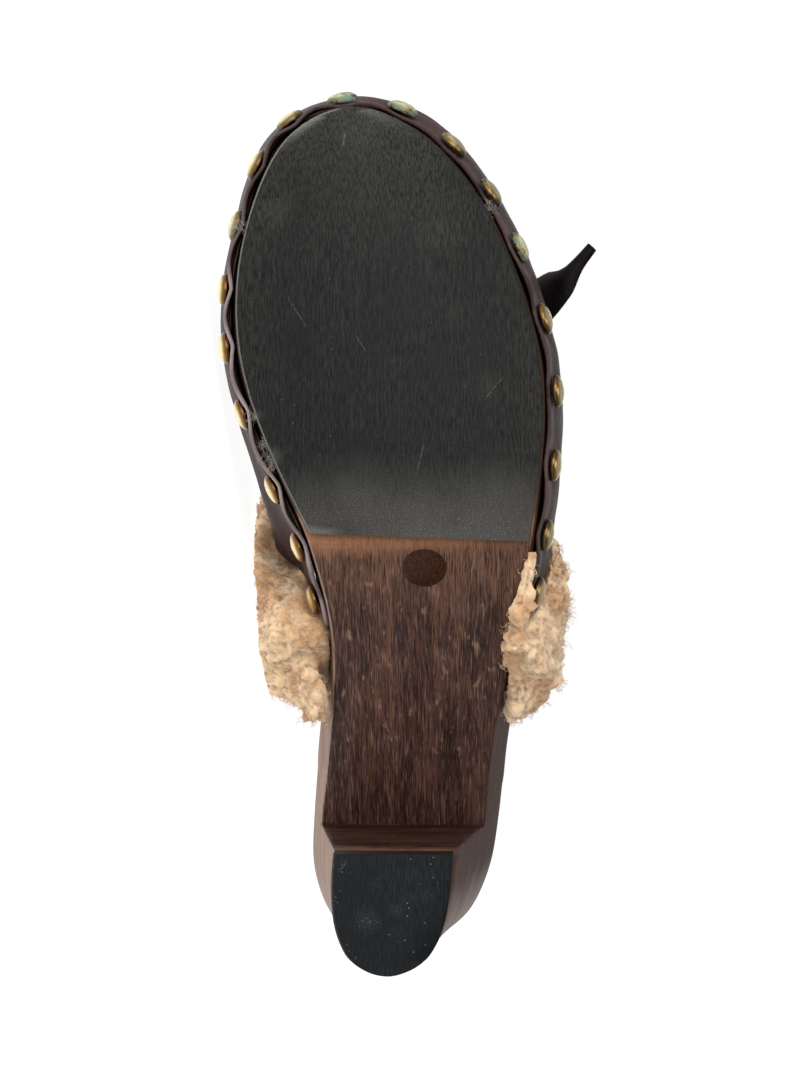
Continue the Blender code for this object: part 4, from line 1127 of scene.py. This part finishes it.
def curls(work, strands, locks, lengths, seed):
    # middle lines of curly strands, gathered into locks; returns them with a tint for each
    chance = np.random.default_rng(seed)
    spots, ways = spotsOn(work, strands, chance)
    heads, headWays = spotsOn(work, locks, chance)
    tree = kdtree.KDTree(locks)
    for k, head in enumerate(heads):
        tree.insert(head, k)
    tree.balance()
    home = np.array([tree.find(spot)[1] for spot in spots])
    lean = headWays + np.array(fleeceSetup["flow"]) + fleeceSetup["lean"] * chance.uniform(-1, 1, (locks, 3))
    lean = normalised(lean)
    across = normalised(np.cross(lean, chance.uniform(-1, 1, (locks, 3))))
    third = np.cross(lean, across)
    bend = chance.uniform(-1, 1, (locks, 3)) * fleeceSetup["bend"]
    length = chance.uniform(*lengths, locks)
    curl = chance.uniform(*fleeceSetup["curl"], locks)
    turns = chance.uniform(*fleeceSetup["turns"], locks) * chance.choice((-1, 1), locks)
    phase = chance.uniform(0, 2 * np.pi, locks)
    t = np.linspace(0, 1, fleeceSetup["points"])
    own = length[home] * chance.uniform(0.75, 1.1, strands)
    jitter = chance.uniform(-1, 1, (strands, 3)) * fleeceSetup["jitter"]
    way = normalised(lean[home] + jitter)
    gathered = (1 - fleeceSetup["pull"] * t ** 0.8)[None, :, None]
    line = heads[home][:, None] + (spots - heads[home])[:, None] * gathered
    line = line + way[:, None] * (own[:, None] * t)[:, :, None]
    line = line + bend[home][:, None] * (t ** 2)[None, :, None]
    swing = phase[home][:, None] + 2 * np.pi * turns[home][:, None] * t
    swing = swing + chance.uniform(-0.7, 0.7, (strands, 1))
    size = (curl[home] * chance.uniform(0.7, 1.3, strands))[:, None] * t ** 0.7
    line = line + across[home][:, None] * (np.cos(swing) * size)[:, :, None]
    line = line + third[home][:, None] * (np.sin(swing) * size)[:, :, None]
    tint = np.clip(chance.uniform(0, 1, locks)[home] + chance.uniform(-0.25, 0.25, strands), 0, 1)
    return line, tint


def outsideHard(lines):
    # which strands keep clear of the wood, the leather and the nails, and leave the nails in view from below
    flat = np.linalg.norm(lines[:, :, None, :2] - nailSpots[None, None, :, :2], axis=3)
    before = lines[:, :, None, 2] < nailSpots[None, None, :, 2]
    kept = ~((flat < fleeceSetup["nailRoom"]) & before).any((1, 2))
    for k in np.nonzero(kept)[0]:
        root, middle, tip = (Vector(lines[k][place]) for place in (0, len(lines[k]) // 2, -1))
        for start, end in ((root, middle), (middle, tip)):
            step = end - start
            if hardTree.ray_cast(start, step.normalized(), step.length)[0] is not None:
                kept[k] = False
    return kept


def strandMesh(name, lines, tints, radii):
    # three-sided strands along the lines, set above the floor
    count, points = lines.shape[:2]
    lines = lines @ toWorld[:3, :3].T + toWorld[:3, 3]
    lines[:, :, 2] = np.maximum(lines[:, :, 2], fleeceSetup["floorGap"] * mm)
    along = np.gradient(lines, axis=1)
    along /= np.maximum(np.linalg.norm(along, axis=2, keepdims=True), 1e-9)
    across = np.cross(along, np.array([0.31, 0.52, 0.79]))
    across /= np.maximum(np.linalg.norm(across, axis=2, keepdims=True), 1e-6)
    third = np.cross(along, across)
    thick = np.linspace(radii[0], radii[1], points)[None, :, None] * mm
    corners = []
    for side in range(3):
        turn = 2 * np.pi * side / 3
        corners.append(lines + (across * np.cos(turn) + third * np.sin(turn)) * thick)
    places = np.stack(corners, 2).reshape(-1, 3)
    index = np.arange(count * points * 3).reshape(count, points, 3)
    beside = np.roll(index, -1, axis=2)
    quads = np.stack([index[:, :-1], beside[:, :-1], beside[:, 1:], index[:, 1:]], -1).reshape(-1, 4)
    caps = np.concatenate([index[:, 0, ::-1], index[:, -1]])
    mesh = bpy.data.meshes.new(name)
    mesh.vertices.add(len(places))
    mesh.vertices.foreach_set("co", places.ravel())
    mesh.loops.add(quads.size + caps.size)
    mesh.loops.foreach_set("vertex_index", np.concatenate([quads.ravel(), caps.ravel()]))
    mesh.polygons.add(len(quads) + len(caps))
    starts = np.concatenate([np.arange(len(quads)) * 4, quads.size + np.arange(len(caps)) * 3])
    mesh.polygons.foreach_set("loop_start", starts)
    mesh.update(calc_edges=True)
    tipLayer = mesh.attributes.new("tip", "FLOAT", "POINT")
    tipLayer.data.foreach_set("value", np.tile(np.repeat(np.linspace(0.3, 1, points), 3), count))
    tintLayer = mesh.attributes.new("tint", "FLOAT", "POINT")
    tintLayer.data.foreach_set("value", np.repeat(tints, points * 3))
    mesh.shade_smooth()
    return mesh


def makeFleece():
    noise.seed_set(fleeceSetup["swaySeed"])
    work = fleeceBody()
    strands = fleeceSetup["strands"] // 1
    lines, tints = curls(work, strands, fleeceSetup["locks"], fleeceSetup["length"], fleeceSetup["seed"])
    kept = outsideHard(lines)
    lines, tints = lines[kept], tints[kept]
    newPiece("fleeceBody", toMesh(work, "fleeceBody"), [tanFleece], ["shearling_cuff"])
    for number in range(fleeceSetup["pieces"]):
        name = f"fleeceCurls_{number + 1}"
        share = slice(number, None, fleeceSetup["pieces"])
        mesh = strandMesh(name, lines[share], tints[share], fleeceSetup["radius"])
        newPiece(name, mesh, [tanCurls])
    print("fleece strands kept:", int(kept.sum()), "of", strands)


def makeLining():
    # fleece on the inner side of the upper, above the wood
    work = fromCad("upper")
    rear, front = liningSetup["coreX"]
    outer = []
    for face in work.faces:
        middle = face.calc_center_median()
        core = Vector((min(max(middle.x, rear), front), 0, upperSetup["coreZ"]))
        inward = face.normal.dot((core - middle).normalized())
        if inward < liningSetup["inward"] or woodTree.find_nearest(middle)[3] < liningSetup["clear"]:
            outer.append(face)
    waveScale, waveHeight = liningSetup["waves"]
    bmesh.ops.delete(work, geom=outer, context="FACES")
    bmesh.ops.subdivide_edges(work, edges=work.edges, cuts=2, use_grid_fill=True)
    work.normal_update()
    for vert in work.verts:
        vert.co += vert.normal * (liningSetup["depth"] + waveHeight * noise.noise(vert.co * waveScale))
    work.normal_update()
    lines, tints = curls(work, *(liningSetup[key] for key in ("strands", "locks", "length", "seed")))
    kept = outsideHard(lines)
    work = withModifiers(work, ("SOLIDIFY", {"thickness": liningSetup["thickness"], "offset": -1.0}))
    for name in ("tint", "tip"):
        layer = work.verts.layers.float.new(name)
        for vert in work.verts:
            vert[layer] = liningSetup[name]
    newPiece("fleeceLining", toMesh(work, "fleeceLining"), [tanFleece])
    mesh = strandMesh("liningCurls", lines[kept], tints[kept], fleeceSetup["radius"])
    newPiece("liningCurls", mesh, [tanCurls])


def makeLint():
    # stray wool caught under the edge of the leather
    chance = np.random.default_rng(lintSetup["seed"])
    t = np.linspace(0, 1, fleeceSetup["points"])
    lines = []
    for spot in lintSetup["spots"]:
        near, out = hardTree.find_nearest(Vector(spot))[:2]
        for strand in range(lintSetup["strands"]):
            root = np.array(near) + chance.normal(0, lintSetup["spread"])
            way = np.array(out) * lintSetup["outward"] + chance.uniform(-1, 1, 3)
            bend = chance.uniform(-1, 1, 3) * lintSetup["bend"]
            length = chance.uniform(*lintSetup["length"])
            lines.append(root + np.outer(t, way) * length / np.linalg.norm(way) + np.outer(t ** 2, bend))
    lines = np.array(lines)
    mesh = strandMesh("lint", lines, np.full(len(lines), 1.0), lintSetup["radius"])
    newPiece("lint", mesh, [greyLint])


makeFleece()
makeLining()
makeLint()
print("fleece made")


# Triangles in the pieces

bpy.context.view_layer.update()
counts = {piece.name: sum(len(poly.vertices) - 2 for poly in piece.data.polygons)
          for piece in bpy.data.objects if piece.type == "MESH"}
print("triangles:", sum(counts.values()), "largest piece:", max(counts.values()))
